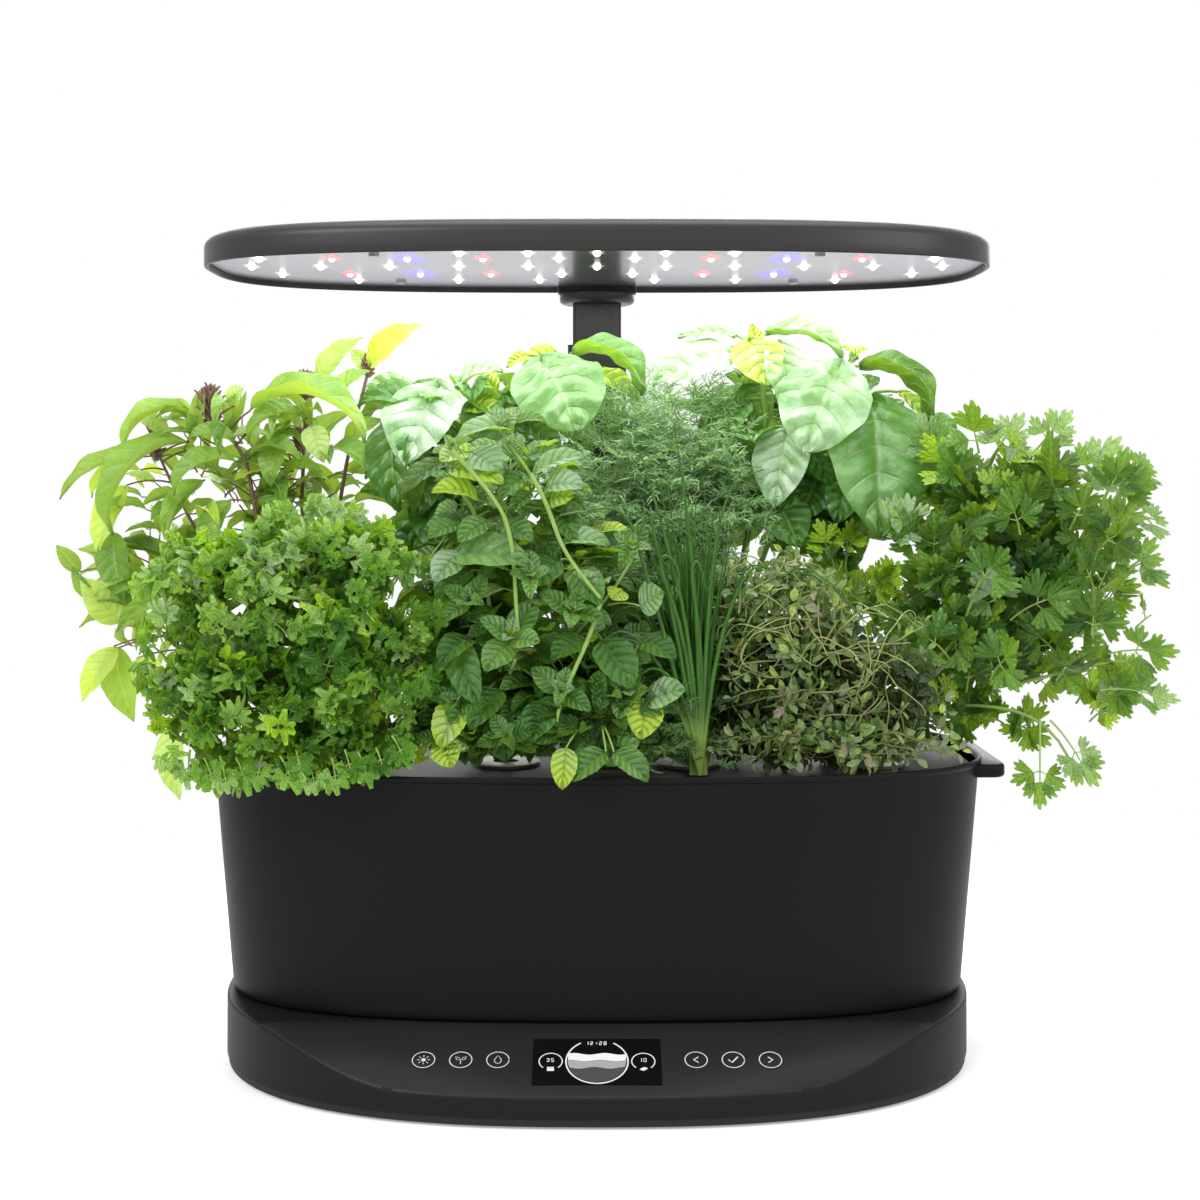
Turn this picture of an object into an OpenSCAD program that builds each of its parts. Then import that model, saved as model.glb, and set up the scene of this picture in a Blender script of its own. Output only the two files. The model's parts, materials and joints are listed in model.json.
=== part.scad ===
// Countertop hydroponic garden: a base with a sloping control panel, a water bowl with a
// grow deck and nine planted pods, and a lamp hood on a two-stage telescoping mast.
// Origin: the middle of the base, on the table. +X is right, -Y is the front, +Z is up.

/* [Base] */
// Width of the base
base_w = 398; // [385:1:415]
// Depth of the base, from the lip of the control panel to the back
base_d = 286; // [280:1:300]
// Height of the flat top that the bowl stands on
base_h = 36; // [34:0.5:42]
// Squareness of the base outline: 2 is an ellipse, more is boxier
base_square = 2.5; // [2.4:0.1:3.2]
// Wall of the base shell
base_wall = 2.6; // [2:0.1:3.2]
// Thickness of the bottom plate
plate_t = 3.6; // [3.2:0.1:4.4]
// Diameter of a rubber foot
foot_d = 16; // [12:1:20]
// Height that a foot stands proud of the plate
foot_h = 1.4; // [1:0.1:2]
// Distance of the corner feet from the middle, left and right
foot_x = 150; // [140:1:155]
// Distance of the corner feet from the middle, front and back
foot_y = 72; // [66:1:76]
// Distance of the base screws from the middle, left and right
base_screw_x = 120; // [112:1:126]
// Distance of the base screws from the middle, front and back
base_screw_y = 62; // [56:1:66]
// Diameter of a base screw's shank
screw_d = 2.8; // [2.4:0.1:3.2]

/* [Control panel] */
// Height of the panel's front lip
lip_z = 16; // [14:0.5:20]
// Depth of the panel's slope, seen from above
panel_run = 46; // [42:0.5:48]
// Thickness of the panel
panel_t = 2.4; // [2:0.1:3]
// Width of the display window
screen_w = 62; // [56:1:68]
// Length of the display window down the slope
screen_l = 31.4; // [28:0.2:34]
// Distance from the panel's back edge to the display window
screen_back = 10.4; // [9:0.2:12]
// Thickness of the display window
window_t = 1.2; // [0.8:0.1:1.6]
// Thickness of the display module
display_t = 3.8; // [3:0.1:4.2]
// Diameter of a touch button's ring
button_d = 11.3; // [10:0.1:13]
// Distance of the innermost buttons from the middle
button_first_x = 48; // [45:0.5:50]
// Distance from one button to the next
button_pitch = 18; // [16:0.5:19]
// Distance from the panel's back edge to the buttons' centres
button_back = 25; // [22:0.5:27]
// Thickness of a circuit board
board_t = 1.6; // [1.2:0.1:2]

/* [Power inlet] */
// Distance of the power inlet from the middle
jack_x = 70; // [60:1:90]
// Diameter of the inlet's centre pin
jack_pin_d = 2; // [1.6:0.1:2.5]
// Diameter of the inlet's bore
jack_bore_d = 5.7; // [5.5:0.1:6.5]
// Depth of the inlet's bore
jack_bore_l = 9.5; // [8:0.1:11]

/* [Bowl] */
// Width of the bowl at its foot
bowl_foot_w = 393; // [386:1:396]
// Depth of the bowl at its foot
bowl_foot_d = 192; // [184:1:194]
// Width of the bowl below its rim
bowl_rim_w = 413; // [404:1:418]
// Depth of the bowl below its rim
bowl_rim_d = 209; // [200:1:210]
// Height of the bowl
bowl_h = 124; // [112:1:130]
// Squareness of the bowl outline
bowl_square = 2.9; // [2.6:0.1:3.1]
// Wall of the bowl
bowl_wall = 2.4; // [2:0.1:3]
// Thickness of the bowl's floor
bowl_floor = 3; // [2.4:0.1:4]
// Height of the rim's lip
rim_h = 3; // [2.4:0.1:4]
// Distance that the rim's lip stands proud
rim_proud = 1.2; // [0.8:0.1:1.4]
// Width of the bowl over its two lifting lugs
lug_w = 432; // [426:1:436]
// Length of a lifting lug, front to back
lug_l = 92; // [80:1:100]
// Thickness of a lifting lug
lug_t = 7; // [5:0.5:9]

/* [Grow deck and pods] */
// Distance of the deck's top below the rim
deck_drop = 3; // [2:0.5:5]
// Thickness of the deck
deck_t = 2.6; // [2:0.1:3.2]
// Width of the ledge that the deck rests on
ledge_w = 1.1; // [0.8:0.1:1.4]
// Distance between the four front pods
front_pitch = 96; // [92:1:98]
// Distance between the five back pods
back_pitch = 77; // [74:1:79]
// Distance of either row of pods from the middle
row_y = 44; // [42:1:46]
// Diameter of a pod basket at the deck
pod_d = 32; // [29:0.5:34]
// Diameter of a pod basket's foot
pod_foot_d = 25; // [22:0.5:27]
// Length of a pod basket below its flange
pod_l = 50; // [44:1:56]
// Width of a pod basket's flange
pod_flange = 2; // [1.6:0.1:3]
// Thickness of a pod basket's flange
pod_flange_t = 1.4; // [1:0.1:2]
// Wall of a pod basket
pod_wall = 1.2; // [1:0.1:1.6]
// Thickness of a pod's label
label_t = 0.5; // [0.4:0.1:0.8]
// Diameter of the hole in a pod's label
label_hole_d = 14; // [12:0.5:16]

/* [Fill port] */
// Width of the fill lid
lid_w = 34; // [30:1:38]
// Length of the fill lid, hinge to front edge
lid_l = 26; // [22:1:28]
// Thickness of the fill lid
lid_t = 2; // [1.6:0.1:2.4]
// Margin of the lid around the port
lid_margin = 3; // [2.4:0.1:4]
// Distance of the lid's hinge from the middle
lid_hinge_y = 57; // [55:0.5:60]
// Diameter of the lid's hinge pin
lid_pin_d = 2; // [1.6:0.1:2.2]
// Diameter of the lid's hinge knuckles
knuckle_d = 3.8; // [3.6:0.1:4.4]

/* [Pump and float] */
// Distance of the pump from the middle, to the right
pump_x = 115; // [110:0.5:118]
// Distance of the pump's rotor from the middle, to the back
pump_y = 56; // [54:0.5:58]
// Width of the pump housing
pump_w = 44; // [40:1:46]
// Height of the pump housing
pump_h = 36; // [34:0.5:40]
// Diameter of the impeller
impeller_d = 22; // [20:0.2:22.4]
// Height of the impeller's blades
impeller_h = 8; // [7:0.1:8.6]
// Diameter of the rotor magnet
magnet_d = 11; // [10:0.1:11.6]
// Diameter of the rotor's pin
rotor_pin_d = 2; // [1.6:0.1:2.4]
// Outside diameter of the riser tube
riser_d = 8; // [7:0.1:8.6]
// Wall of the riser tube
riser_wall = 1.2; // [1:0.1:1.6]
// Distance of the float from the middle, to the right
float_x = 96; // [94:0.5:98]
// Diameter of the float
float_d = 26; // [22:0.5:28]
// Height of the float
float_h = 18; // [14:0.5:22]
// Diameter of the float's guide post
float_post_d = 8; // [6:0.1:9]

/* [Mast] */
// Distance of the mast from the middle, to the back
mast_y = 122; // [121:0.5:123]
// Length of the outer tube
mast_outer_l = 294; // [280:1:300]
// Width of the outer tube
mast_outer_w = 42; // [41:0.2:44]
// Depth of the outer tube
mast_outer_d = 28; // [27:0.2:28.4]
// Width of the middle tube
mast_middle_w = 36; // [35:0.2:36.2]
// Depth of the middle tube
mast_middle_d = 22; // [21.4:0.2:22.2]
// Width of the top tube
mast_top_w = 30; // [29:0.2:30.6]
// Depth of the top tube
mast_top_d = 16; // [15.4:0.2:16.4]
// Wall of the outer tube
mast_wall = 2.5; // [2:0.1:2.6]
// Wall of the two sliding tubes
slider_wall = 2; // [1.6:0.1:2.2]
// Length of the middle tube that shows with the lamp down
middle_show = 60; // [54:1:66]
// Length of the top tube that shows with the lamp down
top_show = 25.5; // [22:0.5:30]
// Length of the middle tube
middle_l = 348; // [336:1:349]
// Length of the top tube
top_l = 246; // [236:1:260]
// Height of the guide caps on the two lower tubes
cap_h = 4; // [3:0.5:6]
// Width of the groove in the face of the top tube
groove_w = 20; // [18:0.5:22]
// Height of the foot that holds the outer tube
mast_foot_h = 14; // [12:0.5:20]
// Diameter of the lamp lead
lead_d = 7; // [6:0.1:7.6]

/* [Lamp hood] */
// Width of the hood
hood_w = 432; // [420:1:440]
// Depth of the hood
hood_d = 204; // [198:1:208]
// Height of the hood
hood_h = 17.5; // [16:0.5:20]
// Squareness of the hood outline
hood_square = 3; // [2.6:0.1:3.2]
// Distance of the hood's middle behind the middle of the base
hood_y = 17; // [15:0.5:18]
// Wall of the hood
hood_wall = 2.5; // [2:0.1:3]
// Radius of the rounding between the hood's side and its top
hood_round = 7.5; // [6:0.5:9]
// Depth of the reflector above the hood's edge
reflector_recess = 3; // [2:0.5:4]
// Thickness of the reflector
reflector_t = 1.5; // [1.2:0.1:2]
// Diameter of the round collar under the bracket
collar_d = 47.6; // [44:0.2:48]
// Thickness of the collar
collar_t = 6; // [5:0.5:8]
// Width of the bracket that carries the hood
bracket_w = 48; // [46:0.5:52]
// Depth of the bracket
bracket_l = 36; // [34:0.5:38]
// Thickness of the bracket
bracket_t = 6.5; // [5:0.5:8]
// Width of one lamp diode
led_w = 3.2; // [2.8:0.1:4]
// Height of one lamp diode below the reflector
led_h = 0.7; // [0.5:0.1:1]
// Distance of the outermost diode from the hood's side
led_side = 24.3; // [22:0.1:30]
// Distance of the foremost diodes from the hood's front
led_front = 32; // [26:0.5:40]
// Distance of a hood screw from the hood's side
hood_screw_side = 99; // [90:1:108]
// Distance of the front hood screws from the hood's front
hood_screw_front = 36; // [32:1:40]
// Distance of the back hood screws from the hood's back
hood_screw_back = 40; // [36:1:44]

/* [Hidden] */

fit = 0.2;            // gap around a piece that drops into a pocket or hole
slide = 0.3;          // gap around a sliding tube
pin_fit = 0.05;       // gap around a turning pin, on the radius
press = 0.02;         // gap around a pin that is glued or pressed in, on the radius
eps = 1;              // distance that a cut runs past the surface it opens
outline_steps = 96;   // points around a large outline
ring_steps = 32;      // points around a plant
corner_steps = 6;     // segments in one rounded corner
$fn = 48;

plate_z = foot_h;                          // underside of the bottom plate
shell_z = plate_z + plate_t;               // underside of the base shell
foot_pocket = 0.8;                         // depth of a foot's pocket in the plate
foot_places = concat([for (x = [-foot_x, foot_x], y = [-foot_y, foot_y]) [x, y]], [[0, 0]]);
base_screw_places = [for (x = [-base_screw_x, base_screw_x], y = [-base_screw_y, base_screw_y]) [x, y]];
screw_head_d = 2 * screw_d;
screw_head_t = 1.6;
boss_d = screw_d + 5;
screw_bite = 14;                           // length of a base screw inside its boss

panel_back_y = base_d / 2 - panel_run;     // distance of the panel's back edge from the middle
panel_fall = base_h - lip_z;               // height of the slope
panel_tilt = atan(panel_fall / panel_run);
panel_l = sqrt(panel_run * panel_run + panel_fall * panel_fall);
button_rows = [for (side = [-1, 1], i = [0:2]) [side * (button_first_x + i * button_pitch), -button_back]];
mark_t = 0.25;                             // thickness of a printed ring
mark_line = 0.5;                           // width of a printed ring
pad_d = button_d - 2;
control_board_w = 2 * (button_first_x + 2 * button_pitch) + pad_d + 4;
control_board_l = 26;
control_board_back = 12;
stack_t = window_t + display_t;            // from the panel's face to the control board

main_board_w = 120;
main_board_l = 70;
standoff_h = 3;
standoff_d = 6;
jack_w = 9;
jack_h = 10.4;
jack_l = 13.5;
jack_z = 18;
jack_land_w = 22;
jack_land_h = 14;
jack_face_y = base_d / 2 * pow(1 - pow((jack_x + jack_land_w / 2) / (base_w / 2), base_square),
                               1 / base_square) - 0.6;

bowl_z = base_h;
rim_z = bowl_z + bowl_h;
deck_z = rim_z - deck_drop;                // top face of the grow deck
deck_under = deck_z - deck_t;
rim_wall = bowl_wall - ledge_w;            // wall of the bowl beside the deck
bowl_floor_z = bowl_z + bowl_floor;
connector_w = 18;
connector_d = 10;

front_pods = 4;
pod_places = concat([for (i = [0:front_pods - 1]) [(i - (front_pods - 1) / 2) * front_pitch, -row_y]],
                    [for (i = [0:4]) [(i - 2) * back_pitch, row_y]]);
sponge_top = deck_z + pod_flange_t - 0.6;
sponge_l = pod_l - 4;
plant_z = sponge_top + slide;

port_w = lid_w - 2 * lid_margin;
port_l = lid_l - 2 * lid_margin;
hinge_z = deck_z + knuckle_d / 2 + slide;
lug_x = lid_w / 2 - 4;                     // inner face of the deck's hinge lugs
hinge_lug_t = 3;

pump_l = 40;                               // depth of the pump housing
pump_behind = 22;                          // from the rotor to the housing's back face
pump_back = pump_y + pump_behind;
chamber_z = bowl_floor_z + 3;
chamber_h = impeller_h + 3;
chamber_d = impeller_d + 2.4;
magnet_h = 11;
magnet_room = magnet_d + 1.4;
coil_in = magnet_room + 1.8;
coil_out = coil_in + 7;
coil_h = 9;
riser_y = pump_y + chamber_d / 2 + riser_d / 2 + 1;
filter_w = 20;
filter_t = 4;
duct_h = 5;                                // height of the duct from the chamber to the riser
riser_z = chamber_z + 2 + duct_h;
float_y = -row_y;
float_stop = 3;                            // height of the stop below the float

mast_foot_w = mast_outer_w + 12;
mast_foot_d = mast_outer_d + 8;
mast_corner = 4;                           // corner radius of the outer tube
mast_screw_x = mast_outer_w / 2 + 3.2;
mast_screw_bite = 9;
outer_top = base_h + mast_outer_l;
middle_top = outer_top + middle_show;
middle_z = middle_top - middle_l;
top_top = middle_top + top_show;
top_z = top_top - top_l;
groove_t = 0.9;
lead_z = shell_z + 13;

collar_z = top_top;
bracket_z = collar_z + collar_t;
bracket_back = mast_y + bracket_l / 2 + 1;
hood_z = bracket_z + 1;
hood_top = hood_z + hood_h;
hood_inside_top = hood_top - hood_wall;
reflector_z = hood_z + reflector_recess;
board_z = reflector_z + reflector_t;
heat_plate_t = 1.5;
heat_plate_z = board_z + board_t;
reflector_gap = 0.6;
plant_room = hood_z - plant_z;             // height from the pods to the lamp
bracket_inside = bracket_back - bracket_l; // front edge of the bracket
hood_screw_places = [for (side = [-1, 1], y = [hood_screw_front - hood_d / 2, hood_d / 2 - hood_screw_back])
    [side * (hood_w / 2 - hood_screw_side), hood_y + y]];
bracket_screw_x = 15;
bracket_screw_y = bracket_inside + 5.5;
led_reach_x = (hood_w / 2 - led_side) / 191.7;     // size of the diode pattern against its drawing
led_reach_y = (hood_d / 2 - led_front) / 70;
led_rows = [
    // distance from the hood's middle, [colour, distances to either side], as drawn
    [55, [["w", 34], ["w", 82], ["w", 141]]],
    [25, [["w", 20.3], ["r", 61], ["b", 101.6], ["r", 142], ["w", 181]]],
    [-11, [["w", 0], ["w", 38.3], ["w", 76.6], ["w", 115], ["w", 153.4], ["w", 191.7]]],
    [-46, [["w", 20.3], ["r", 61], ["b", 101.6], ["r", 142], ["w", 181]]],
    [-70, [["w", 0], ["w", 36], ["w", 72]]]
];

// ---- Outlines ----

// A superellipse as a list of points
function superellipse(w, d, n, steps) = [for (i = [0:steps - 1])
    let (c = cos(360 * i / steps), s = sin(360 * i / steps))
    [w / 2 * sign(c) * pow(abs(c), 2 / n), d / 2 * sign(s) * pow(abs(s), 2 / n)]];

// A rectangle with round corners as a list of points
function rounded(w, d, r) = [for (q = [0:3], i = [0:corner_steps])
    let (a = 90 * q + 90 * i / corner_steps, sx = (q == 0 || q == 3) ? 1 : -1, sy = q < 2 ? 1 : -1)
    [sx * (w / 2 - r) + r * cos(a), sy * (d / 2 - r) + r * sin(a)]];

module slab(z, h) {
    translate([0, 0, z]) linear_extrude(h) children();
}

module base_outline(inset) {
    polygon(superellipse(base_w - 2 * inset, base_d - 2 * inset, base_square, outline_steps));
}

module round_rect(w, d, r) {
    polygon(rounded(w, d, r));
}

// A smooth closed body through level rings, each [z, width, depth, squareness, x, y]
module loft(rings, steps) {
    n = len(rings);
    sides = [for (r = rings) superellipse(r[1], r[2], r[3], steps)];
    points = [for (k = [0:n - 1], p = sides[k]) [p[0] + rings[k][4], p[1] + rings[k][5], rings[k][0]]];
    walls = [for (k = [0:n - 2], i = [0:steps - 1], half = [0, 1])
        let (a = k * steps + i, b = k * steps + (i + 1) % steps)
        half == 0 ? [a, a + steps, b] : [b, a + steps, b + steps]];
    bottom = [for (i = [0:steps - 1]) i];
    top = [for (i = [steps - 1:-1:0]) (n - 1) * steps + i];
    polyhedron(points = points, faces = concat(walls, [bottom], [top]));
}

// ---- Base ----

// Frame of the sloping panel: X along it, -Y down the slope, Z out of its face
module on_panel(z = 0) {
    translate([0, -panel_back_y, base_h]) rotate([panel_tilt, 0, 0]) translate([0, 0, z]) children();
}

// Everything in front of the panel's back edge and above a depth below its face
module above_panel(depth) {
    on_panel(-depth) translate([-base_w, -2 * panel_l, 0]) cube([2 * base_w, 2 * panel_l, base_d]);
}

module base_boss(place) {
    translate([place[0], place[1], shell_z]) cylinder(h = base_h - base_wall / 2 - shell_z, d = boss_d);
}

// A thicker stretch of the back wall around the power inlet
module jack_boss() {
    intersection() {
        slab(shell_z, base_h - base_wall / 2 - shell_z) base_outline(base_wall / 2);
        translate([jack_x - jack_land_w / 2 - base_wall, jack_face_y - base_wall, 0])
            cube([jack_land_w + 2 * base_wall, base_d, base_h]);
    }
}

module base_shell() color("#2d2a29") difference() {
    union() {
        difference() {
            slab(shell_z, base_h - shell_z) base_outline(0);
            slab(shell_z - eps, base_h - base_wall - shell_z + eps) base_outline(base_wall);
        }
        for (place = base_screw_places) base_boss(place);
        jack_boss();
    }
    above_panel(panel_t);
    for (place = base_screw_places) translate([place[0], place[1], shell_z - eps])
        cylinder(h = screw_bite + 2 * eps, d = screw_d + 2 * pin_fit);
    translate([jack_x - jack_w / 2 - fit, 0, jack_z - jack_h / 2 - fit])
        cube([jack_w + 2 * fit, base_d, jack_h + 2 * fit]);
    translate([jack_x - jack_land_w / 2, jack_face_y, jack_z - jack_land_h / 2])
        cube([jack_land_w, base_d, jack_land_h]);
    for (side = [-1, 1]) translate([side * mast_screw_x, mast_y, base_h - base_wall - eps])
        cylinder(h = base_wall + 2 * eps, d = screw_d + 2 * pin_fit);
    translate([0, mast_y, base_h - base_wall - eps]) cylinder(h = base_wall + 2 * eps, d = lead_d + 1.2);
    translate([pump_x, pump_y, base_h - base_wall - eps]) connector_body(base_wall + 2 * eps, fit);
}

module base_plate() color("#1f1d1c") difference() {
    union() {
        slab(plate_z, plate_t) base_outline(0.8);
        for (x = [-1, 1], y = [-1, 1]) translate([x * (main_board_w / 2 - 5), y * (main_board_l / 2 - 5), shell_z - eps])
            cylinder(h = standoff_h + eps, d = standoff_d);
    }
    for (place = foot_places) translate([place[0], place[1], plate_z - eps])
        cylinder(h = foot_pocket + eps, d = foot_d + 2 * fit);
    for (place = base_screw_places) translate([place[0], place[1], plate_z]) {
        translate([0, 0, -eps]) cylinder(h = plate_t + 2 * eps, d = screw_d + 0.4);
        translate([0, 0, -eps]) cylinder(h = screw_head_t + 0.3 + eps, d = screw_head_d + 2 * fit);
    }
}

module rubber_feet() color("#1a1a1a") for (place = foot_places)
    translate([place[0], place[1], 0]) cylinder(h = foot_h + foot_pocket, d = foot_d);

module screw(length, head_d = screw_head_d, head_t = screw_head_t) {
    cylinder(h = head_t, d = head_d);
    cylinder(h = head_t + length, d = screw_d);
}

module base_screws() color("#8f9296") for (place = base_screw_places)
    translate([place[0], place[1], plate_z + 0.3]) screw(plate_t - 0.3 - screw_head_t + screw_bite);

module control_panel() color("#454342") difference() {
    intersection() {
        slab(shell_z, base_h) base_outline(0);
        on_panel(-panel_t) translate([-base_w, -2 * panel_l, 0])
            cube([2 * base_w, 2 * panel_l - fit, panel_t]);
    }
    on_panel(-panel_t - eps) translate([-screen_w / 2 - fit, -screen_back - screen_l - fit, 0])
        cube([screen_w + 2 * fit, screen_l + 2 * fit, panel_t + 2 * eps]);
}

module screen_block(z, t) {
    on_panel(z) translate([-screen_w / 2, -screen_back - screen_l, 0]) cube([screen_w, screen_l, t]);
}

module display_window() color("#0c0c0e") screen_block(-window_t, window_t);

module display_module() color("#9fb4c4") screen_block(-stack_t, display_t);

module button_marks() color("#c8c8c8") on_panel(0) for (place = button_rows) translate(place)
    difference() {
        cylinder(h = mark_t, d = button_d);
        translate([0, 0, -eps]) cylinder(h = mark_t + 2 * eps, d = button_d - 2 * mark_line);
    }

module touch_pads() color("#b87333") on_panel(-stack_t) for (place = button_rows) translate(place)
    cylinder(h = stack_t - panel_t, d = pad_d);

module control_board() color("#1d6b3a") on_panel(-stack_t - board_t)
    translate([-control_board_w / 2, -control_board_back - control_board_l, 0])
        cube([control_board_w, control_board_l, board_t]);

module main_board() color("#1d6b3a") translate([-main_board_w / 2, -main_board_l / 2, shell_z + standoff_h])
    cube([main_board_w, main_board_l, board_t]);

module dc_jack() color("#141414") translate([jack_x, jack_face_y, jack_z]) rotate([90, 0, 0]) {
    difference() {
        translate([-jack_w / 2, -jack_h / 2, 0]) cube([jack_w, jack_h, jack_l]);
        translate([0, 0, -eps]) cylinder(h = jack_bore_l + eps, d = jack_bore_d);
    }
    translate([0, 0, 0.5]) cylinder(h = jack_l - 1, d = jack_pin_d);
}

// ---- Bowl and deck ----

function bowl_ring(z, inset) = let (t = (z - bowl_z) / bowl_h)
    [z, bowl_foot_w + t * (bowl_rim_w - bowl_foot_w) - 2 * inset,
     bowl_foot_d + t * (bowl_rim_d - bowl_foot_d) - 2 * inset, bowl_square, 0, 0];

module bowl() color("#262525") difference() {
    union() {
        loft([bowl_ring(bowl_z, 2), bowl_ring(bowl_z + 2, 0), bowl_ring(rim_z - rim_h, 0),
              bowl_ring(rim_z - rim_h + 0.4, -rim_proud), bowl_ring(rim_z, -rim_proud)], outline_steps);
        slab(rim_z - rim_h - lug_t, lug_t) round_rect(lug_w, lug_l, 8);
    }
    loft([bowl_ring(bowl_floor_z, bowl_wall + 2), bowl_ring(bowl_floor_z + 2, bowl_wall),
          bowl_ring(deck_under + 0.01, bowl_wall)], outline_steps);
    loft([bowl_ring(deck_under, rim_wall), bowl_ring(rim_z + eps, rim_wall)], outline_steps);
    translate([pump_x, pump_y, bowl_z - eps]) connector_body(bowl_floor + 2 * eps, fit);
}

module connector_body(h, grow) {
    w = connector_w + 2 * grow;
    d = connector_d + 2 * grow;
    translate([-w / 2, -d / 2, 0]) cube([w, d, h]);
}

module bowl_connector() color("#151515") translate([pump_x, pump_y, base_h - base_wall])
    connector_body(base_wall + bowl_floor, 0);

module grow_deck() color("#3a3938") difference() {
    union() {
        loft([bowl_ring(deck_under, rim_wall + fit), bowl_ring(deck_z, rim_wall + fit)], outline_steps);
        for (side = [-1, 1]) hinge_lug(side);
    }
    for (place = pod_places) translate([place[0], place[1], deck_under - eps])
        cylinder(h = deck_t + 2 * eps, d = pod_d + 2 * fit);
    translate([-port_w / 2, -lid_hinge_y - lid_margin - port_l, deck_under - eps])
        cube([port_w, port_l, deck_t + 2 * eps]);
    translate([-lid_w, -lid_hinge_y, hinge_z]) rotate([0, 90, 0])
        cylinder(h = 2 * lid_w, d = lid_pin_d + 2 * press);
}

module hinge_lug(side) {
    x = side > 0 ? lug_x : -lug_x - hinge_lug_t;
    translate([x, -lid_hinge_y, hinge_z]) rotate([0, 90, 0]) cylinder(h = hinge_lug_t, d = knuckle_d);
    translate([x, -lid_hinge_y - knuckle_d / 2, deck_z - deck_t / 2])
        cube([hinge_lug_t, knuckle_d, hinge_z - deck_z + deck_t / 2]);
}

module fill_lid() color("#4a4947") difference() {
    union() {
        translate([-lid_w / 2, -lid_hinge_y - lid_l, deck_z]) cube([lid_w, lid_l - knuckle_d / 2 - slide, lid_t]);
        translate([-lug_x + slide, -lid_hinge_y - lid_l / 2, hinge_z - lid_t / 2])
            cube([2 * lug_x - 2 * slide, lid_l / 2, lid_t]);
        translate([-lug_x + slide, -lid_hinge_y, hinge_z]) rotate([0, 90, 0])
            cylinder(h = 2 * lug_x - 2 * slide, d = knuckle_d);
    }
    translate([-lid_w, -lid_hinge_y, hinge_z]) rotate([0, 90, 0])
        cylinder(h = 2 * lid_w, d = lid_pin_d + 2 * pin_fit);
}

module fill_lid_pin() color("#b9bcc0") translate([-lug_x - hinge_lug_t, -lid_hinge_y, hinge_z])
    rotate([0, 90, 0]) cylinder(h = 2 * (lug_x + hinge_lug_t), d = lid_pin_d);

// ---- Pods ----

module pod_basket() difference() {
    rotate_extrude() polygon([
        [pod_foot_d / 2 - pod_wall, -pod_l], [pod_foot_d / 2, -pod_l],
        [pod_d / 2, 0], [pod_d / 2 + pod_flange, 0],
        [pod_d / 2 + pod_flange, pod_flange_t], [pod_d / 2 - pod_wall, pod_flange_t],
        [pod_foot_d / 2 - pod_wall, -pod_l + pod_wall]]);
    for (a = [0, 90]) rotate(a) translate([-pod_d, -2.5, -pod_l + 6]) cube([2 * pod_d, 5, pod_l - 16]);
}

module at_pods(z) {
    for (place = pod_places) translate([place[0], place[1], z]) children();
}

module pod_baskets() color("#5a5c58") at_pods(deck_z) pod_basket();

module grow_sponges() color("#6b4a33") at_pods(sponge_top - sponge_l)
    cylinder(h = sponge_l, d1 = pod_foot_d - 2 * pod_wall - 2 * fit, d2 = pod_d - 2 * pod_wall - 2 * fit - 0.6);

module pod_labels() color("#e9e7df") at_pods(deck_z + pod_flange_t) difference() {
    cylinder(h = label_t, d = pod_d + 2 * pod_flange - 1);
    translate([0, 0, -eps]) cylinder(h = label_t + 2 * eps, d = label_hole_d);
}

// ---- Pump and float ----

module at_pump(z) {
    translate([pump_x, pump_y, z]) children();
}

module pump_housing() color("#3c3f42") difference() {
    translate([pump_x - pump_w / 2, pump_back - pump_l, bowl_floor_z]) cube([pump_w, pump_l, pump_h]);
    at_pump(chamber_z) cylinder(h = chamber_h, d = chamber_d);
    at_pump(chamber_z) cylinder(h = chamber_h + magnet_h + 1.5, d = magnet_room);
    at_pump(chamber_z + chamber_h + 1) difference() {
        cylinder(h = coil_h + 2 * fit, d = coil_out + 2 * fit);
        translate([0, 0, -eps]) cylinder(h = coil_h + 2 * eps + 2 * fit, d = coil_in - 2 * fit);
    }
    at_pump(bowl_floor_z - eps) cylinder(h = pump_h, d = rotor_pin_d + 2 * press);
    translate([pump_x - filter_w / 2, pump_back - pump_l - eps, chamber_z])
        cube([filter_w, pump_l + pump_y - pump_back + eps, impeller_h + 2]);
    translate([pump_x - riser_d / 4, pump_y, chamber_z + 2]) cube([riser_d / 2, riser_y - pump_y, duct_h]);
    translate([pump_x, riser_y, chamber_z + 2]) cylinder(h = pump_h, d = riser_d + 2 * press);
}

module pump_coil() color("#b0612b") at_pump(chamber_z + chamber_h + 1 + fit) difference() {
    cylinder(h = coil_h, d = coil_out);
    translate([0, 0, -eps]) cylinder(h = coil_h + 2 * eps, d = coil_in);
}

module pump_impeller() color("#e6e6e6") at_pump(chamber_z + 1) difference() {
    union() {
        cylinder(h = impeller_h + 1, d = magnet_d - 2);
        translate([0, 0, impeller_h]) cylinder(h = magnet_h, d = magnet_d);
        for (a = [0:60:300]) rotate(a) translate([0, -0.6, 0]) cube([impeller_d / 2, 1.2, impeller_h]);
    }
    translate([0, 0, -eps]) cylinder(h = pump_h, d = rotor_pin_d + 2 * pin_fit);
}

module rotor_pin() color("#f2f0ea") at_pump(bowl_floor_z)
    cylinder(h = chamber_z - bowl_floor_z + chamber_h + magnet_h, d = rotor_pin_d);

module pump_filter() color("#202020")
    translate([pump_x - filter_w / 2 + fit, pump_back - pump_l, chamber_z + fit])
        cube([filter_w - 2 * fit, filter_t, impeller_h + 2 - 2 * fit]);

module riser_tube() color("#d9dde0") translate([pump_x, riser_y, riser_z]) difference() {
    cylinder(h = deck_under - fit - riser_z, d = riser_d);
    translate([0, 0, -eps]) cylinder(h = bowl_h, d = riser_d - 2 * riser_wall);
}

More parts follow.
